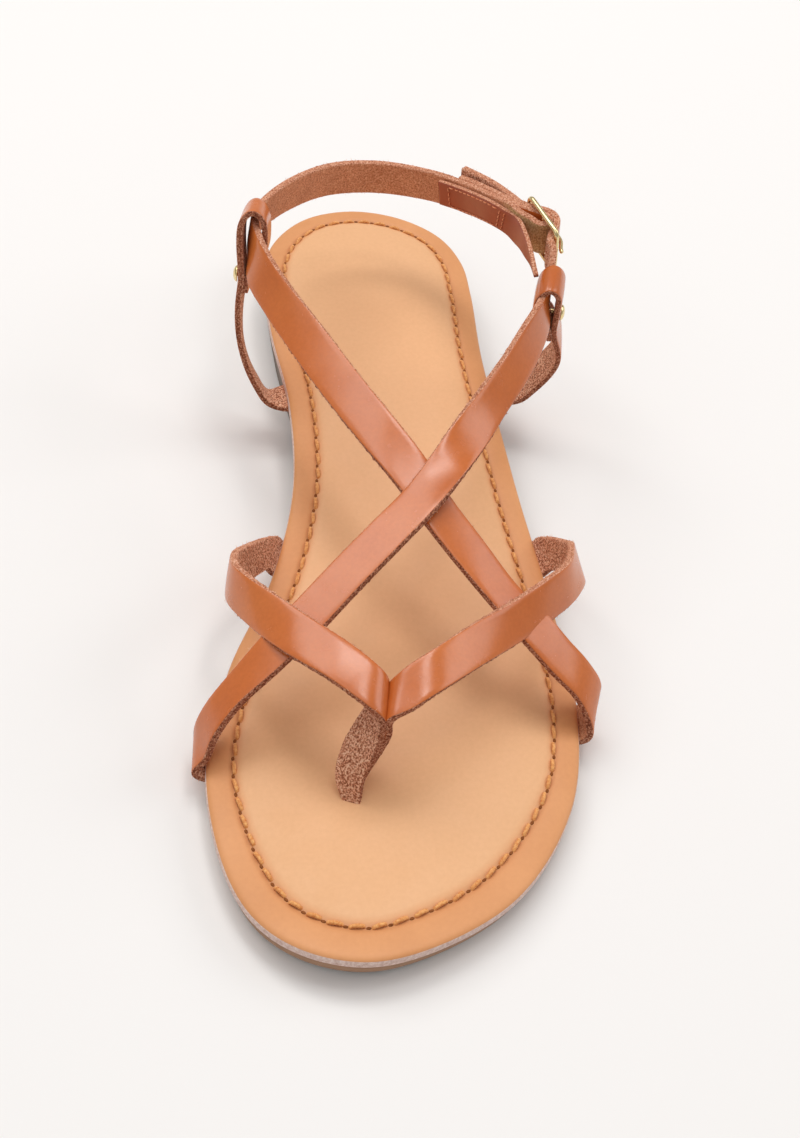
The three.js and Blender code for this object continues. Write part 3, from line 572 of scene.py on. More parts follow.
COGNAC = smooth_leather("cognac_leather", (200, 106, 46), (188, 95, 38), (210, 118, 56))
FLESH = suede("flesh_side", (222, 148, 112), (142, 78, 50), (252, 212, 180))
SUEDE = suede("heel_strap_suede", (220, 146, 104), (176, 104, 68), (244, 188, 148), 0.3, 0.7)
# One cut edge in two copies: the front edges, turned away from the back lamps, get a darker copy as painted
# shade, and the rear edges a paler copy as painted light.
FRONT_EDGE_PAINTED_SHADE = raw_edge("front_edge_painted_shade", (164, 96, 68), (112, 58, 38), (220, 164, 134))
REAR_EDGE_PAINTED_LIGHT = raw_edge("rear_edge_painted_light", (206, 138, 106), (160, 94, 66), (236, 188, 160))
GUARD_LEATHER = smooth_leather("guard_leather", (158, 60, 18), (142, 48, 12), (174, 72, 26), 0.3, 0.4)
FIBRE = fibre_material()


def footbed_material():
    """Pale natural leather, more saturated on the border where it is glued down."""
    n = Nodes("footbed_leather")
    edge = n.attribute("inset_mm")
    inner = n.ramp(n.noise(14, 3.0), [(0.3, (226, 173, 126)), (0.7, (232, 180, 134))])
    border = n.ramp(n.noise(45, 4.0), [(0.3, (212, 146, 94)), (0.7, (223, 158, 106))])
    colour = n.mix(n.span(edge, *BORDER_FADE), border, inner)
    # Painted shade: a darker band along the stitch groove, multiplied into the footbed's colour
    painted_groove_shade = n.ramp(n.span(edge, *GROOVE_SHADE_SPAN), [(0.0, WHITE), (0.5, (214, 196, 180)), (1.0, WHITE)])
    fine = n.ramp(n.noise(900, 3.0), [(0.3, (246, 243, 240)), (0.7, WHITE)])
    n.out("Base Color", n.mix(0.5, n.mix(0.6, colour, painted_groove_shade, "MULTIPLY"), fine, "MULTIPLY"))
    n.out("Roughness", n.span(n.noise(180, 3.0), 0.3, 0.7, 0.46, 0.56))
    n.bump(n.sum(n.noise(1300, 4.0), n.cells(1500), 0.4), 0.08, 0.0001)
    n.set(Specular_IOR_Level=0.4)
    return n.material


def board_edge_material():
    """Bare cut edge of the insole board under its leather."""
    n = Nodes("board_edge")
    tones = [(0.3, (196, 160, 146)), (0.55, (228, 202, 192)), (0.75, (246, 230, 222))]
    n.out("Base Color", n.ramp(n.noise(1200, 5.0, 0.7), tones))
    n.bump(n.noise(2000, 5.0, 0.7), 0.7, 0.0003)
    n.set(Roughness=0.9, Specular_IOR_Level=0.2)
    return n.material


def outsole_material():
    n = Nodes("outsole_sheet")
    tone = n.ramp(n.noise(30, 3.0), [(0.3, (162, 124, 98)), (0.7, (184, 146, 118))])
    streaks = n.noise(500, 4.0, 0.6, stretch=(0.25, 0.25, 2.5))
    grain = n.ramp(streaks, [(0.3, (214, 206, 200)), (0.7, WHITE)])
    n.out("Base Color", n.mix(0.6, tone, grain, "MULTIPLY"))
    n.bump(n.noise(700, 5.0, 0.65), 0.35, 0.0002)
    n.set(Roughness=0.72, Specular_IOR_Level=0.35)
    return n.material


def heel_material():
    n = Nodes("heel_stack")
    tone = n.ramp(n.noise(40, 3.0), [(0.3, (118, 106, 96)), (0.7, (146, 134, 124))])
    streaks = n.noise(90, 4.0, 0.6, stretch=(0.1, 0.1, 7.0))
    layers = n.ramp(streaks, [(0.35, (200, 192, 186)), (0.65, WHITE)])
    n.out("Base Color", n.mix(0.7, tone, layers, "MULTIPLY"))
    n.bump(n.noise(900, 5.0, 0.65), 0.35, 0.0002)
    n.set(Roughness=0.7, Specular_IOR_Level=0.35)
    return n.material


def brass_material():
    n = Nodes("pale_brass")
    n.out("Base Color", n.ramp(n.noise(300, 3.0), [(0.3, (224, 200, 142)), (0.7, (244, 226, 178))]))
    n.out("Roughness", n.span(n.noise(900, 4.0), 0.3, 0.7, 0.16, 0.3))
    n.bump(n.noise(1800, 3.0), 0.06, 0.00005)
    n.set(Metallic=1.0)
    return n.material


def thread_material(name, dark, pale):
    n = Nodes(name)
    n.out("Base Color", n.ramp(n.noise(1500, 3.0), [(0.3, dark), (0.7, pale)]))
    n.bump(n.noise(4000, 3.0), 0.4, 0.00008)
    n.set(Roughness=0.62, Specular_IOR_Level=0.35, Sheen_Weight=0.15)
    return n.material


# Dark brown painted shade for the inside of the needle holes
def hole_shade_material():
    n = Nodes("needle_hole_shade")
    n.out("Base Color", n.ramp(n.noise(1500, 3.0), [(0.3, (120, 68, 34)), (0.7, (150, 92, 52))]))
    n.set(Roughness=0.9, Specular_IOR_Level=0.1)
    return n.material


FOOTBED = footbed_material()
BOARD_EDGE = board_edge_material()
OUTSOLE = outsole_material()
HEEL = heel_material()
BRASS = brass_material()
THREAD = thread_material("thread", (206, 124, 58), (242, 180, 112))
GUARD_THREAD = thread_material("guard_thread", (206, 112, 66), (240, 164, 122))
HOLE_SHADE = hole_shade_material()

# Straps

# Cross section, drawn at one half width and then fitted: its points, and the shares that limit its corner
# and set the whole of its dome lower
SECTION_HALF = 5.0
FACE_POINTS = 9
SIDE_POINTS = 4
CORNER_LIMIT = 0.9
DOME_SINK = 0.3
EDGE_TOLERANCE = 0.01

# Bands: distance between rings, rounds of smoothing, steps between rows, and the spot bare of dye
BAND_STEP = 0.5
BAND_SMOOTHING = 8
KNOT_STEPS = 14
BARE_RADIUS = 15.0
BARE_FADE = 6.0

# Materials of a band in their order on the mesh
PLUS, MINUS, REAR, FRONT = range(4)


def section(thickness, corner, dome):
    """Closed outline of a strap across its width: (across, height, material of the side that follows)."""
    h = thickness / 2
    c = min(corner, h * CORNER_LIMIT)
    flat = SECTION_HALF - c
    sink = dome * DOME_SINK
    across = np.linspace(-flat, flat, FACE_POINTS)
    side = np.linspace(h - c, c - h, SIDE_POINTS)

    def bend(degrees, kind):
        a = math.radians(degrees)
        x = math.copysign(flat, math.cos(a)) + c * math.cos(a)
        z = math.copysign(h - c, math.sin(a)) + c * math.sin(a)
        return x, (z - sink if degrees > 0 else z), kind

    return [
        *((s, h + dome * (1 - (s / SECTION_HALF) ** 2) - sink, PLUS) for s in across[:-1]),
        (across[-1], h - sink, PLUS),
        bend(60, PLUS),
        bend(30, FRONT),
        *((SECTION_HALF, z, FRONT) for z in side),
        bend(-30, FRONT),
        bend(-60, MINUS),
        *((s, -h, MINUS) for s in across[::-1]),
        bend(-120, REAR),
        bend(-150, REAR),
        *((-SECTION_HALF, z, REAR) for z in -side),
        bend(150, REAR),
        bend(120, PLUS),
    ]


def band_edges(rows):
    """Smoothed rear and front edges of a band, sampled evenly along its middle."""
    rear = catmull([row.rear for row in rows], False, KNOT_STEPS)
    front = catmull([row.front for row in rows], False, KNOT_STEPS)
    run = run_along((rear + front) / 2)
    at = np.linspace(0, run[-1], int(round(run[-1] / BAND_STEP)) + 1)
    edges = []
    for edge in (rear, front):
        v = np.stack([np.interp(at, run, edge[:, k]) for k in range(3)], 1)
        for _ in range(BAND_SMOOTHING):
            v[1:-1] = 0.25 * v[:-2] + 0.5 * v[1:-1] + 0.25 * v[2:]
        edges.append(v)
    return edges


def band_frames(rows):
    """Centres, half widths, and across, normal and along directions of a band."""
    rear, front = band_edges(rows)
    centre = (rear + front) / 2
    along = np.gradient(centre, axis=0)
    along /= np.linalg.norm(along, axis=1, keepdims=True)
    across = front - rear
    width = np.linalg.norm(across, axis=1)
    across /= width[:, None]
    normal = np.cross(along, across)
    normal /= np.linalg.norm(normal, axis=1, keepdims=True)
    return centre, width / 2, across, normal, along


def band(name, rows, thickness, plus, minus, corner=0.42, dome=0.16, fuzz=0.1, bare_spot=None):
    """Strap of leather: plus and minus are the materials of its two faces, fuzz roughens its edges."""
    centre, half, across, normal, _ = band_frames(rows)
    count = len(centre)
    outline = section(thickness, corner, dome)
    n = len(outline)
    side, height = np.array([point[:2] for point in outline]).T
    is_edge = np.abs(np.abs(side) - SECTION_HALF) < EDGE_TOLERANCE
    verts = np.zeros((count, n, 3))
    for i in range(count):
        jitter = rng.normal(0, fuzz, n) * is_edge
        lift = rng.normal(0, fuzz * 0.5, n) * is_edge
        reach = side * half[i] / SECTION_HALF + jitter
        verts[i] = centre[i] + reach[:, None] * across[i] + (height + lift)[:, None] * normal[i]
    verts = verts.reshape(-1, 3)
    # Rear edges take the paler cut edge of painted light; front edges and end caps take the darker one of
    # painted shade.
    kinds = [point[2] for point in outline] * (count - 1) + [FRONT, FRONT]
    obj = make_object(name, verts, skin(count, n, caps=True), [plus, minus, REAR_EDGE_PAINTED_LIGHT, FRONT_EDGE_PAINTED_SHADE], kinds)
    if bare_spot is not None:
        far = np.linalg.norm(verts - bare_spot, axis=1)
        bare = smoothstep((BARE_RADIUS - far) / BARE_FADE).astype(np.float32)
        obj.data.attributes.new("beige", "FLOAT", "POINT").data.foreach_set("value", bare)
    return obj


# Fibres: where they root on a face and an edge as shares, how far they stand out, stray and bend, their
# lengths and radii, their rings as shares of both, and the angles of their sides
FIBRE_FACE_REACH = 0.95
FIBRE_EDGE_REACH = 0.48
FIBRE_LEAN = (0.3, 1.0)
FIBRE_SPREAD = 0.5
FIBRE_BEND = 0.5
FIBRE_LENGTH = (0.25, 0.7)
FIBRE_RADIUS = (0.03, 0.06)
FIBRE_RINGS = ((-0.1, 1.0), (0.5, 0.8), (1.0, 0.25))
FIBRE_ANGLES = (0.0, 2.1, 4.2)
FIBRE_FACES = [*skin(len(FIBRE_RINGS), len(FIBRE_ANGLES)), (6, 7, 8)]


def fibres(name, rows, thickness, per_mm, face=0.0):
    """Loose fibres on both cut edges of a strap, and a share of them on its minus face."""
    centre, half, across, normal, along = band_frames(rows)
    verts = []
    faces = []
    for _ in range(int(len(centre) * BAND_STEP * per_mm)):
        i = rng.integers(1, len(centre) - 1)
        side = rng.choice((-1.0, 1.0))
        if rng.random() < face:
            share = rng.uniform(-FIBRE_FACE_REACH, FIBRE_FACE_REACH)
            root = centre[i] + across[i] * half[i] * share - normal[i] * thickness / 2
            out = -normal[i]
        else:
            share = rng.uniform(-FIBRE_EDGE_REACH, FIBRE_EDGE_REACH)
            root = centre[i] + across[i] * half[i] * side + normal[i] * thickness * share
            out = across[i] * side
        aim = out * rng.uniform(*FIBRE_LEAN) + rng.normal(0, FIBRE_SPREAD, 3)
        aim /= np.linalg.norm(aim)
        bend = rng.normal(0, FIBRE_BEND, 3)
        bend -= aim * np.dot(aim, bend)
        length = rng.uniform(*FIBRE_LENGTH)
        radius = rng.uniform(*FIBRE_RADIUS)
        u = np.cross(aim, along[i])
        u /= max(np.linalg.norm(u), 1e-6)
        v = np.cross(aim, u)
        start = len(verts)
        for t, r in FIBRE_RINGS:
            spot = root + aim * length * t + bend * length * max(t, 0.0) ** 2
            for a in FIBRE_ANGLES:
                verts.append(spot + (u * math.cos(a) + v * math.sin(a)) * radius * r)
        faces += [tuple(start + k for k in corners) for corners in FIBRE_FACES]
    return make_object(name, verts, faces, [FIBRE])


attach(band("inner_arm", MEDIAL_ARM, STRAP_THICKNESS, COGNAC, FLESH), "upper", "upper")
attach(band("outer_arm", LATERAL_ARM, STRAP_THICKNESS, FLESH, COGNAC), "upper", "upper")
attach(band("crossing_strap", CROSSING_STRAP, STRAP_THICKNESS, FLESH, COGNAC), "upper", "upper")
attach(
    band("heel_strap", HEEL_STRAP, STRAP_THICKNESS, COGNAC, SUEDE, bare_spot=BUCKLE_CENTRE),
    "upper",
    "upper",
)
attach(band("inner_loop", INNER_LOOP, LOOP_THICKNESS, FLESH, COGNAC), "inner_side_loop", "inner_side_loop")
attach(band("outer_loop", OUTER_LOOP, LOOP_THICKNESS, COGNAC, FLESH), "outer_side_loop", "outer_side_loop")
attach(
    band("guard", GUARD, GUARD_THICKNESS, FLESH, GUARD_LEATHER, corner=0.3, dome=0.08, fuzz=0.03),
    "buckle_guard",
    "buckle_guard",
)
ride_extra(fibres("inner_arm_fibres", MEDIAL_ARM, STRAP_THICKNESS, 6.0, face=0.45))
ride_extra(fibres("outer_arm_fibres", LATERAL_ARM, STRAP_THICKNESS, 4.0))
ride_extra(fibres("crossing_strap_fibres", CROSSING_STRAP, STRAP_THICKNESS, 3.5))
ride_extra(fibres("heel_strap_fibres", HEEL_STRAP, STRAP_THICKNESS, 3.5, face=0.3))
ride_extra(fibres("inner_loop_fibres", INNER_LOOP, LOOP_THICKNESS, 3.0))
ride_extra(fibres("outer_loop_fibres", OUTER_LOOP, LOOP_THICKNESS, 3.0))

# Soles

OUTLINE_STEPS = 40
STATIONS = 240
HEEL_STATIONS = 200
RUNG_PARTS = 16

# Insets wider than this grow by a share toward the toe, from this place on and over this range
WIDE_INSET = 2.5
TOE_GROWTH = 0.33
TOE_GROWTH_Y = -70
TOE_GROWTH_RANGE = 45


def inset_stations(inset, stations):
    """Stations from toe to heel, with the outer and inner side of the inset outline at each."""
    outline = catmull(FOOTBED_OUTLINE, True, OUTLINE_STEPS)
    nxt, prv = np.roll(outline, -1, axis=0), np.roll(outline, 1, axis=0)
    d = nxt - prv
    d /= np.linalg.norm(d, axis=1, keepdims=True)
    area = np.sum(outline[:, 0] * nxt[:, 1] - nxt[:, 0] * outline[:, 1])
    inward = np.stack([-d[:, 1], d[:, 0]], 1) * np.sign(area)
    grow = 1 + TOE_GROWTH * smoothstep((TOE_GROWTH_Y - outline[:, 1]) / TOE_GROWTH_RANGE)
    reach = inset * np.where(inset > WIDE_INSET, grow, 1.0)
    pts = outline + inward * reach[:, None]
    toe, heel = int(np.argmin(pts[:, 1])), int(np.argmax(pts[:, 1]))
    n = len(pts)

    def side(a, b):
        length = (b - a) % n
        return pts[(a + np.arange(length + 1)) % n]

    one, two = side(toe, heel), side(heel, toe)[::-1]
    if one[len(one) // 2, 0] < two[len(two) // 2, 0]:
        one, two = two, one
    y_low, y_high = pts[toe, 1], pts[heel, 1]
    k = np.arange(stations + 1)
    y = y_low + (y_high - y_low) * (0.5 - 0.5 * np.cos(np.pi * k / stations))

    def x_at(line):
        order = np.maximum.accumulate(line[:, 1]) + np.arange(len(line)) * 1e-9
        return np.interp(y, order, line[:, 0])

    outer, inner = x_at(one), x_at(two)
    outer[0] = inner[0] = pts[toe, 0]
    outer[-1] = inner[-1] = pts[heel, 0]
    return y, outer, inner


def over_border(y, lift):
    """Height of a layer that follows the footbed's border."""
    return footbed_top(y) + lift


def slab(name, rows, materials, stations=STATIONS, height=over_border, second_rows=0, attribute=None):
    """Sole layer from rows, closed by a ladder at each end; its first rows may be of the second material."""
    n = 2 * stations
    verts = []
    insets = []
    for row in rows:
        y, outer, inner = inset_stations(row.inset, stations)
        z = height(y, row.level)
        ring = np.concatenate([np.stack([outer, y, z], 1), np.stack([inner, y, z], 1)[1:-1][::-1]])
        verts.append(ring)
        insets.append(np.full(n, row.inset))
    faces = skin(len(rows), n)
    kinds = [int(r < second_rows) for r in range(len(rows) - 1) for _ in range(n)]

    def ladder(ring, flip):
        """Fills a ring with rungs from its outer to its inner side, each cut into equal parts."""
        start = ring * n
        base = sum(len(v) for v in verts)
        shares = (np.arange(1, RUNG_PARTS) / RUNG_PARTS)[:, None]
        corner = verts[ring]
        rungs = [corner[k] + (corner[n - k] - corner[k]) * shares for k in range(1, stations)]
        verts.append(np.concatenate(rungs))
        insets.append(np.full(len(verts[-1]), rows[ring].inset))
        kind = int(ring < second_rows)

        def at(rung, part):
            if part == 0:
                return start + rung
            if part == RUNG_PARTS:
                return start + n - rung
            return base + (rung - 1) * (RUNG_PARTS - 1) + part - 1

        def face(*ids):
            faces.append(ids[::-1] if flip else ids)
            kinds.append(kind)

        for part in range(RUNG_PARTS):
            face(start, at(1, part), at(1, part + 1))
            for k in range(1, stations - 1):
                face(at(k, part), at(k + 1, part), at(k + 1, part + 1), at(k, part + 1))
            face(at(stations - 1, part), start + stations, at(stations - 1, part + 1))

    ladder(0, True)
    ladder(len(rows) - 1, False)
    obj = make_object(name, np.concatenate(verts), faces, materials, kinds)
    if attribute:
        values = np.concatenate(insets).astype(np.float32)
        obj.data.attributes.new(attribute, "FLOAT", "POINT").data.foreach_set("value", values)
    return obj


# Sole layers as rows of inset from the outline and level over the footbed's border; the heel's levels with
# no minus sign are heights over the floor
FOOTBED_ROWS = table("inset level", [
    (0.5, -3.0),
    (0.12, -2.9),
    (0.0, -2.5),
    (0.0, -1.7),
    (0.05, -1.15),
    (0.22, -0.72),
    (0.55, -0.38),
    (1.1, -0.12),
    (1.9, 0.02),
    (3.0, 0.09),
    (4.4, 0.1),
    (5.2, 0.02),
    (5.7, -0.16),
    (6.1, -0.26),
    (6.5, -0.16),
    (7.0, 0.12),
    (7.8, 0.42),
    (9.0, 0.66),
    (11.0, 0.84),
    (14.0, 0.95),
])

# The footbed's first rows are its bare edge
EDGE_ROWS = 5
footbed = slab("footbed", FOOTBED_ROWS, [FOOTBED, BOARD_EDGE], second_rows=EDGE_ROWS, attribute="inset_mm")
attach(footbed, "insole", "insole")

OUTSOLE_ROWS = table("inset level", [
    (14.0, -8.0),
    (4.0, -8.0),
    (2.6, -7.96),
    (1.9, -7.75),
    (1.45, -7.35),
    (1.15, -6.7),
    (1.02, -5.8),
    (1.0, -4.4),
    (1.05, -3.6),
    (1.4, -3.32),
    (6.0, -3.3),
])
attach(slab("outsole_sheet", OUTSOLE_ROWS, [OUTSOLE]), "outsole", "outsole")

HEEL_ROWS = table("inset level", [
    (12.0, 0.0),
    (4.0, 0.0),
    (3.0, 0.06),
    (2.6, 0.4),
    (2.3, 1.2),
    (2.26, 1.9),
    (1.95, 2.0),
    (1.95, 2.15),
    (2.2, 2.3),
    (1.9, -9.4),
    (1.8, -8.7),
    (2.2, -8.3),
    (8.0, -8.3),
])

# Least height of the heel's upper rows over the floor
HEEL_LEAST = 2.4

# Front face of the heel: how far it bows, about which place across and over which reach, and the cut's box
HEEL_BOW = 3.0
HEEL_BOW_X = 4
HEEL_BOW_REACH = 30
CUT_HALF_X = 60
CUT_POINTS = 61
CUT_FAR_Y = -170
CUT_HEIGHTS = (-10, 30)


def heel_height(y, level):
    """Height over the floor, or under the footbed's border where the level has a minus sign."""
    if level >= 0:
        return np.full_like(y, level)
    return np.maximum(HEEL_LEAST, footbed_top(np.maximum(0, y)) + level)


def heel_cutter():
    """Box in front of the heel, with a gently bowed rear face."""
    x = np.linspace(-CUT_HALF_X, CUT_HALF_X, CUT_POINTS)
    y = HEEL_BREAST_Y + HEEL_BOW * np.clip(1 - ((x - HEEL_BOW_X) / HEEL_BOW_REACH) ** 2, 0, 1)
    back = [(a, b, z) for z in CUT_HEIGHTS for a, b in zip(x, y)]
    front = [(a, CUT_FAR_Y, z) for z in CUT_HEIGHTS for a in x]
    n = len(x)
    faces = []
    for i in range(n - 1):
        faces.append((i, i + 1, n + i + 1, n + i))
        faces.append((2 * n + i + 1, 2 * n + i, 3 * n + i, 3 * n + i + 1))
        faces.append((i + 1, i, 2 * n + i, 2 * n + i + 1))
        faces.append((n + i, n + i + 1, 3 * n + i + 1, 3 * n + i))
    faces.append((0, n, 3 * n, 2 * n))
    faces.append((n - 1, 3 * n - 1, 4 * n - 1, 2 * n - 1))
    mesh = bpy.data.meshes.new("heel_cut")
    mesh.from_pydata(in_metres(back + front), [], faces)
    return linked("heel_cut", mesh)


def heel_block():
    """Stacked heel, cut off at its front face."""
    obj = slab("heel_stack", HEEL_ROWS, [HEEL], stations=HEEL_STATIONS, height=heel_height)
    cutter = heel_cutter()
    cut = obj.modifiers.new("breast", "BOOLEAN")
    cut.operation = "DIFFERENCE"
    cut.object = cutter
    cut.solver = "EXACT"
    graph = bpy.context.evaluated_depsgraph_get()
    made = bpy.data.meshes.new_from_object(obj.evaluated_get(graph))
    obj.modifiers.clear()
    obj.data = made
    bpy.data.objects.remove(cutter)
    return obj


attach(heel_block(), "heel_block", "heel_block")

# Thread, and painted shade at the needle holes

# Two-ply thread: how it rises from its holes, its height in radii, its twist's depth and its end width
THREAD_RISE = 0.45
THREAD_HEIGHT = 1.1
THREAD_TWIST = 0.2
THREAD_END = 0.75

# Footbed stitches: inset of their line, its depth, pitch, gaps at both needle holes, slant and slips
STITCH_INSET = 6.1
STITCH_SINK = 0.2
STITCH_PITCH = 4.8
STITCH_START_GAP = 0.5
STITCH_END_GAP = 0.42
STITCH_SLANT = 0.42
STITCH_SLIPS = (0.12, 0.1, 0.1, 0.08)
THREAD_RADIUS = 0.5
THREAD_TURNS = 3.2

# Dark oval of painted shade at a needle hole: length, width and depth, its lift, and the place ahead that
# gives its direction
HOLE_SIZE = (0.56, 0.36, 0.14)
HOLE_LIFT = 0.08
HOLE_AHEAD = 0.6
HOLE_RINGS = 4
HOLE_SIDES = 12


def stitch_line():
    """Closed line of the footbed stitches from above, and the distance along it."""
    y, outer, inner = inset_stations(STITCH_INSET, STATIONS)
    loop = np.concatenate([np.stack([outer, y], 1), np.stack([inner, y], 1)[1:-1][::-1]])
    loop = np.concatenate([loop, loop[:1]])
    return loop, run_along(loop)


def thread_tube(start, end, lift, radius, turns, rings=13, sides=10, sink=0.5):
    """One stitch of two-ply thread between its needle holes."""
    t = np.linspace(0, 1, rings)
    path = start + (end - start) * t[:, None]
    rise = np.sin(np.pi * t) ** THREAD_RISE
    path = path + lift * (rise * radius * THREAD_HEIGHT - sink * (1 - rise))[:, None]
    along = (end - start) / np.linalg.norm(end - start)
    u = np.cross(along, lift)
    u /= np.linalg.norm(u)
    v = np.cross(u, along)
    angle = 2 * np.pi * np.arange(sides) / sides
    verts = []
    for i in range(rings):
        ply = 1 + THREAD_TWIST * np.cos(2 * (angle - 2 * np.pi * turns * t[i]))
        r = radius * ply * (THREAD_END + (1 - THREAD_END) * rise[i])
        verts.append(path[i] + u * (r * np.cos(angle))[:, None] + v * (r * np.sin(angle))[:, None])
    return np.concatenate(verts), skin(rings, sides, caps=True)


def hole_shade_oval(centre, along, lift):
    """Flat dark oval at a needle hole, painted shade that stands for the hole's dark inside."""
    length, width, depth = HOLE_SIZE
    along = along / np.linalg.norm(along)
    side = np.cross(along, lift)
    verts = []
    for i in range(HOLE_RINGS + 1):
        phi = math.pi * i / HOLE_RINGS
        r = math.sin(phi)
        for k in range(HOLE_SIDES):
            a = 2 * math.pi * k / HOLE_SIDES
            flat = along * (length * r * math.cos(a)) + side * (width * r * math.sin(a))
            verts.append(centre + flat + lift * (depth * math.cos(phi)))
    faces = [(a, d, c, b) for a, b, c, d in skin(HOLE_RINGS + 1, HOLE_SIDES)]
    return np.array(verts), faces


def joined(name, parts, material):
    """One object from many small meshes."""
    verts = []
    faces = []
    start = 0
    for v, f in parts:
        verts.append(v)
        faces += [tuple(i + start for i in face) for face in f]
        start += len(v)
    return make_object(name, np.concatenate(verts), faces, [material])


def footbed_stitching():
    loop, run = stitch_line()
    count = int(round(run[-1] / STITCH_PITCH))
    pitch = run[-1] / count
    slip_along, slip_end, slip_side, slip_slant = STITCH_SLIPS
    threads = []
    hole_shades = []
    up = np.array((0, 0, 1.0))

    def at(s):
        x, y = (np.interp(s % run[-1], run, loop[:, k]) for k in range(2))
        return np.array((x, y, footbed_top(y) - STITCH_SINK))

    for i in range(count):
        slip = rng.normal(0, slip_along)
        a = at(i * pitch + STITCH_START_GAP + slip)
        b = at((i + 1) * pitch - STITCH_END_GAP + rng.normal(0, slip_end))
        side = np.cross(b - a, up)
        side /= np.linalg.norm(side)
        a = a + side * rng.normal(0, slip_side)
        b = b - side * (STITCH_SLANT + rng.normal(0, slip_slant))
        threads.append(thread_tube(a, b, up, THREAD_RADIUS, THREAD_TURNS))
        hole = at(i * pitch + slip * 0.5)
        ahead = at(i * pitch + HOLE_AHEAD) - hole
        hole_shades.append(hole_shade_oval(hole + up * HOLE_LIFT, ahead, up))
    ride_extra(joined("footbed_thread", threads, THREAD))
    # The dark ovals at the needle holes are painted shade.
    ride_extra(joined("footbed_hole_shades", hole_shades, HOLE_SHADE))


footbed_stitching()

# Guard stitches: both lines along as shares of the half width, their ends, the last row's distance,
# and each stitch's pitch, gap, radius, turns and lift over the leather
GUARD_LINES = (-0.76, 0.84)
GUARD_STITCH_START = 4.2
GUARD_STITCH_END = 28.5
GUARD_LAST_ROW = 2.2
GUARD_PITCH = 2.1
GUARD_ROW_POINTS = 5
GUARD_STITCH_GAP = 0.12
GUARD_THREAD_RADIUS = 0.17
GUARD_THREAD_TURNS = 2.0
GUARD_THREAD_LIFT = 0.02


def guard_stitching():
    """Fine stitched rectangle that holds the guard to the heel strap, with a doubled last row."""
    centre, half, across, normal, _ = band_frames(GUARD)
    inward = -normal
    parts = []

    def at(s, share):
        i = min(len(centre) - 1, max(0, int(round(s / BAND_STEP))))
        lift = inward[i] * (GUARD_THICKNESS / 2 + GUARD_THREAD_LIFT)
        return centre[i] + across[i] * half[i] * share + lift, inward[i]

    def line(points):
        for (p, lift), (q, _) in zip(points[:-1], points[1:]):
            gap = (q - p) * GUARD_STITCH_GAP
            ends = (p + gap, q - gap)
            parts.append(
                thread_tube(*ends, lift, GUARD_THREAD_RADIUS, GUARD_THREAD_TURNS, rings=9, sides=8, sink=0.2)
            )

    for share in GUARD_LINES:
        line([at(s, share) for s in np.arange(GUARD_STITCH_START, GUARD_STITCH_END, GUARD_PITCH)])
    for s in (GUARD_STITCH_START, GUARD_STITCH_END, GUARD_STITCH_END + GUARD_LAST_ROW):
        line([at(s, share) for share in np.linspace(*GUARD_LINES, GUARD_ROW_POINTS)])
    ride_extra(joined("guard_thread", parts, GUARD_THREAD))


guard_stitching()

# Brass

# Wire: sides of its ring, widths of its last rings as shares, and parts of a corner, the bar and the prong
WIRE_SIDES = 14
WIRE_END = (0.35, 0.75, 0.93, 1.0)
CORNER_PARTS = 8
BAR_RINGS = 6
PRONG_STEPS = 8


def wire_mesh(name, path, radius, closed=False):
    """Round brass wire along a path, rounded off where it ends."""
    p = np.asarray(path)
    n = len(p)
    lift = BUCKLE_OUT
    angle = 2 * np.pi * np.arange(WIRE_SIDES) / WIRE_SIDES
    rings = []
    for i in range(n):
        before = p[(i - 1) % n] if closed else p[max(i - 1, 0)]
        after = p[(i + 1) % n] if closed else p[min(i + 1, n - 1)]
        along = (after - before) / np.linalg.norm(after - before)
        lift = lift - along * np.dot(lift, along)
        lift /= np.linalg.norm(lift)
        side = np.cross(along, lift)
        r = radius if closed else radius * WIRE_END[min(i, n - 1 - i, len(WIRE_END) - 1)]
        rings.append(p[i] + lift * (r * np.cos(angle))[:, None] + side * (r * np.sin(angle))[:, None])
    faces = skin(n, WIRE_SIDES, closed, caps=not closed)
    return make_object(name, np.concatenate(rings), faces, [BRASS])


def buckle_ring():
    """Rectangle with rounded corners, as a closed path."""
    x, y = BUCKLE_HALF_LENGTH - BUCKLE_CORNER, BUCKLE_HALF_HEIGHT - BUCKLE_CORNER
    path = []
    for quarter, corner_x, corner_y in ((0, x, y), (1, -x, y), (2, -x, -y), (3, x, -y)):
        for i in range(CORNER_PARTS + 1):
            angle = math.pi / 2 * (quarter + i / CORNER_PARTS)
            s = corner_x + BUCKLE_CORNER * math.cos(angle)
            t = corner_y + BUCKLE_CORNER * math.sin(angle)
            path.append(BUCKLE_CENTRE + BUCKLE_ALONG * s + BUCKLE_UP * t)
    return path


def buckle_bar():
    """Straight path across the frame, from rail to rail."""
    heights = np.linspace(-BUCKLE_HALF_HEIGHT, BUCKLE_HALF_HEIGHT, BAR_RINGS)
    return [BUCKLE_CENTRE + BUCKLE_UP * t for t in heights]


def prong_path():
    return catmull([at_buckle(place.along, place.out) for place in PRONG_AT_BUCKLE], False, PRONG_STEPS)


attach(wire_mesh("buckle_wire", buckle_ring(), WIRE_RADIUS, closed=True), "buckle_frame", "buckle_frame")
attach(wire_mesh("buckle_bar", buckle_bar(), BAR_RADIUS), "buckle_frame", "buckle_frame")
attach(wire_mesh("buckle_pin", prong_path(), PRONG_RADIUS), "buckle_prong", "buckle_prong")

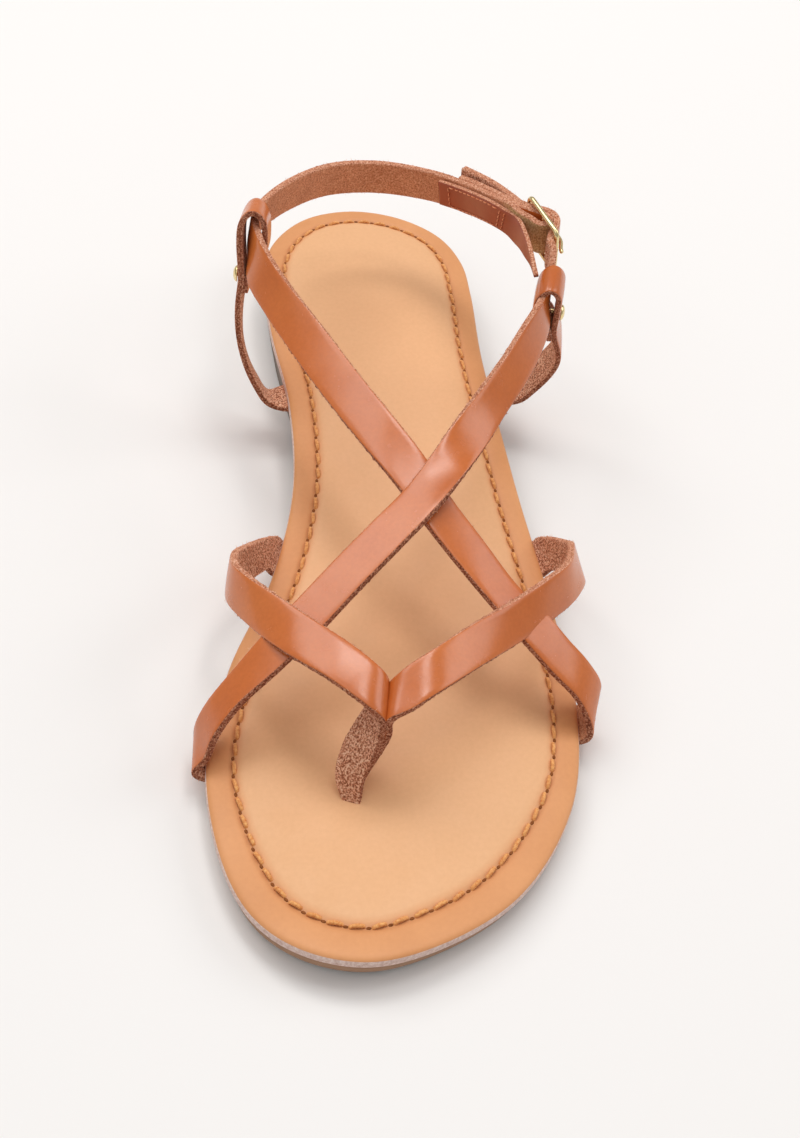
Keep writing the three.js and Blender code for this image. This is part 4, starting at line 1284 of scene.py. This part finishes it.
# Outline of a rivet as radius and distance beyond its tail's place, and then beyond its head's place
RIVET_TAIL = table("radius beyond", [(0.0, 0.6), (1.2, 0.6), (1.4, 0.45), (1.4, 0.0), (0.7, 0.0)])
RIVET_HEAD = table("radius beyond", [
    (0.7, 0.0),
    (2.0, 0.0),
    (2.1, 0.12),
    (2.06, 0.34),
    (1.85, 0.6),
    (1.45, 0.85),
    (0.9, 1.03),
    (0.4, 1.09),
    (0.0, 1.1),
])
RIVET_SIDES = 28


def rivet(spec):
    """Domed brass head with its shank and tail."""
    profile = [(row.radius, -spec["tail"] - row.beyond) for row in RIVET_TAIL]
    profile += [(row.radius, spec["head"] + row.beyond) for row in RIVET_HEAD]
    turn = Vector((0, 0, 1)).rotation_difference(Vector(spec["out"]).normalized())
    verts = []
    for r, z in profile:
        for k in range(RIVET_SIDES):
            a = 2 * math.pi * k / RIVET_SIDES
            verts.append(turn @ Vector((r * math.cos(a), r * math.sin(a), z)) + Vector(spec["at"]))
    name = spec["name"] + "_rivet"
    attach(make_object(name + "_head", verts, skin(len(profile), RIVET_SIDES), [BRASS]), name, name)


for spec in RIVETS:
    rivet(spec)

# Floor, light and camera

FLOOR_HALF = 4.0
AIM = (0, 0, 0.02)
WARM = (1.0, 0.985, 0.965)

# Area lights
LIGHTS = table("name place size power colour", [
    ("soft_back", (-0.75, 0.95, 1.6), (1.1, 0.9), 10.0, (1.0, 0.985, 0.96)),
    ("softbox", (0.12, 0.74, 1.83), (0.9, 0.5), 9.5, WARM),
    ("small_top", (0.36, 0.16, 1.95), (0.42, 0.36), 4.2, WARM),
    ("right_fill", (1.7, 0.3, 1.25), (1.2, 1.0), 9.0, (1.0, 1.0, 1.0)),
    ("overhead", (-0.8, -0.5, 1.9), (2.2, 2.2), 11.0, (1.0, 1.0, 1.0)),
])
WORLD_STRENGTH = 0.38


def floor():
    mesh = bpy.data.meshes.new("studio_floor")
    corners = [(x * FLOOR_HALF, y * FLOOR_HALF, 0) for x, y in ((-1, -1), (1, -1), (1, 1), (-1, 1))]
    mesh.from_pydata(corners, [], [(0, 1, 2, 3)])
    n = Nodes("studio_floor")
    n.out("Base Color", n.ramp(n.noise(3, 2.0), [(0.0, (235, 233, 232)), (1.0, (237, 235, 234))]))
    n.set(Roughness=0.9, Specular_IOR_Level=0.1)
    mesh.materials.append(n.material)
    obj = linked("studio_floor", mesh)


def area_light(name, place, size, power, colour):
    light = bpy.data.lights.new(name, "AREA")
    light.shape = "RECTANGLE"
    light.size, light.size_y = size
    light.energy = power
    light.color = colour
    obj = linked(name, light)
    obj.location = place
    obj.rotation_mode = "QUATERNION"
    obj.rotation_quaternion = (Vector(AIM) - Vector(place)).to_track_quat("-Z", "Y")


floor()
for light in LIGHTS:
    area_light(*light)

world = bpy.data.worlds.new("studio")
bpy.context.scene.world = world
world.use_nodes = True
background = world.node_tree.nodes["Background"]
background.inputs["Color"].default_value = (*WARM, 1.0)
background.inputs["Strength"].default_value = WORLD_STRENGTH

# Camera of the photograph: place in millimetres, downward tilt, turn and nod, focal length and sensor width
CAMERA_PLACE = (-53.33, -270.98, 302.4)
CAMERA_DOWN = math.radians(46.92)
CAMERA_TURN = math.radians(8.195)
CAMERA_NOD = math.radians(-2.088)
CAMERA_LENS = 49.35
CAMERA_SENSOR = 36.0


def camera():
    data = bpy.data.cameras.new("photo_camera")
    data.sensor_width = CAMERA_SENSOR
    data.lens = CAMERA_LENS
    data.clip_start = 0.01
    data.clip_end = 20.0
    obj = linked("photo_camera", data)
    ahead = Vector((0, math.cos(CAMERA_DOWN), -math.sin(CAMERA_DOWN)))
    up = Vector((0, math.sin(CAMERA_DOWN), math.cos(CAMERA_DOWN)))
    right = Vector((1, 0, 0))
    turned = ahead * math.cos(CAMERA_TURN) + right * math.sin(CAMERA_TURN)
    right = right * math.cos(CAMERA_TURN) - ahead * math.sin(CAMERA_TURN)
    aim = turned * math.cos(CAMERA_NOD) + up * math.sin(CAMERA_NOD)
    up = up * math.cos(CAMERA_NOD) - turned * math.sin(CAMERA_NOD)
    basis = Matrix((right, up, -aim)).transposed()
    obj.rotation_mode = "QUATERNION"
    obj.rotation_quaternion = basis.to_quaternion()
    obj.location = Vector(CAMERA_PLACE) * MM
    bpy.context.scene.camera = obj


camera()
bpy.context.scene.view_settings.view_transform = "Standard"
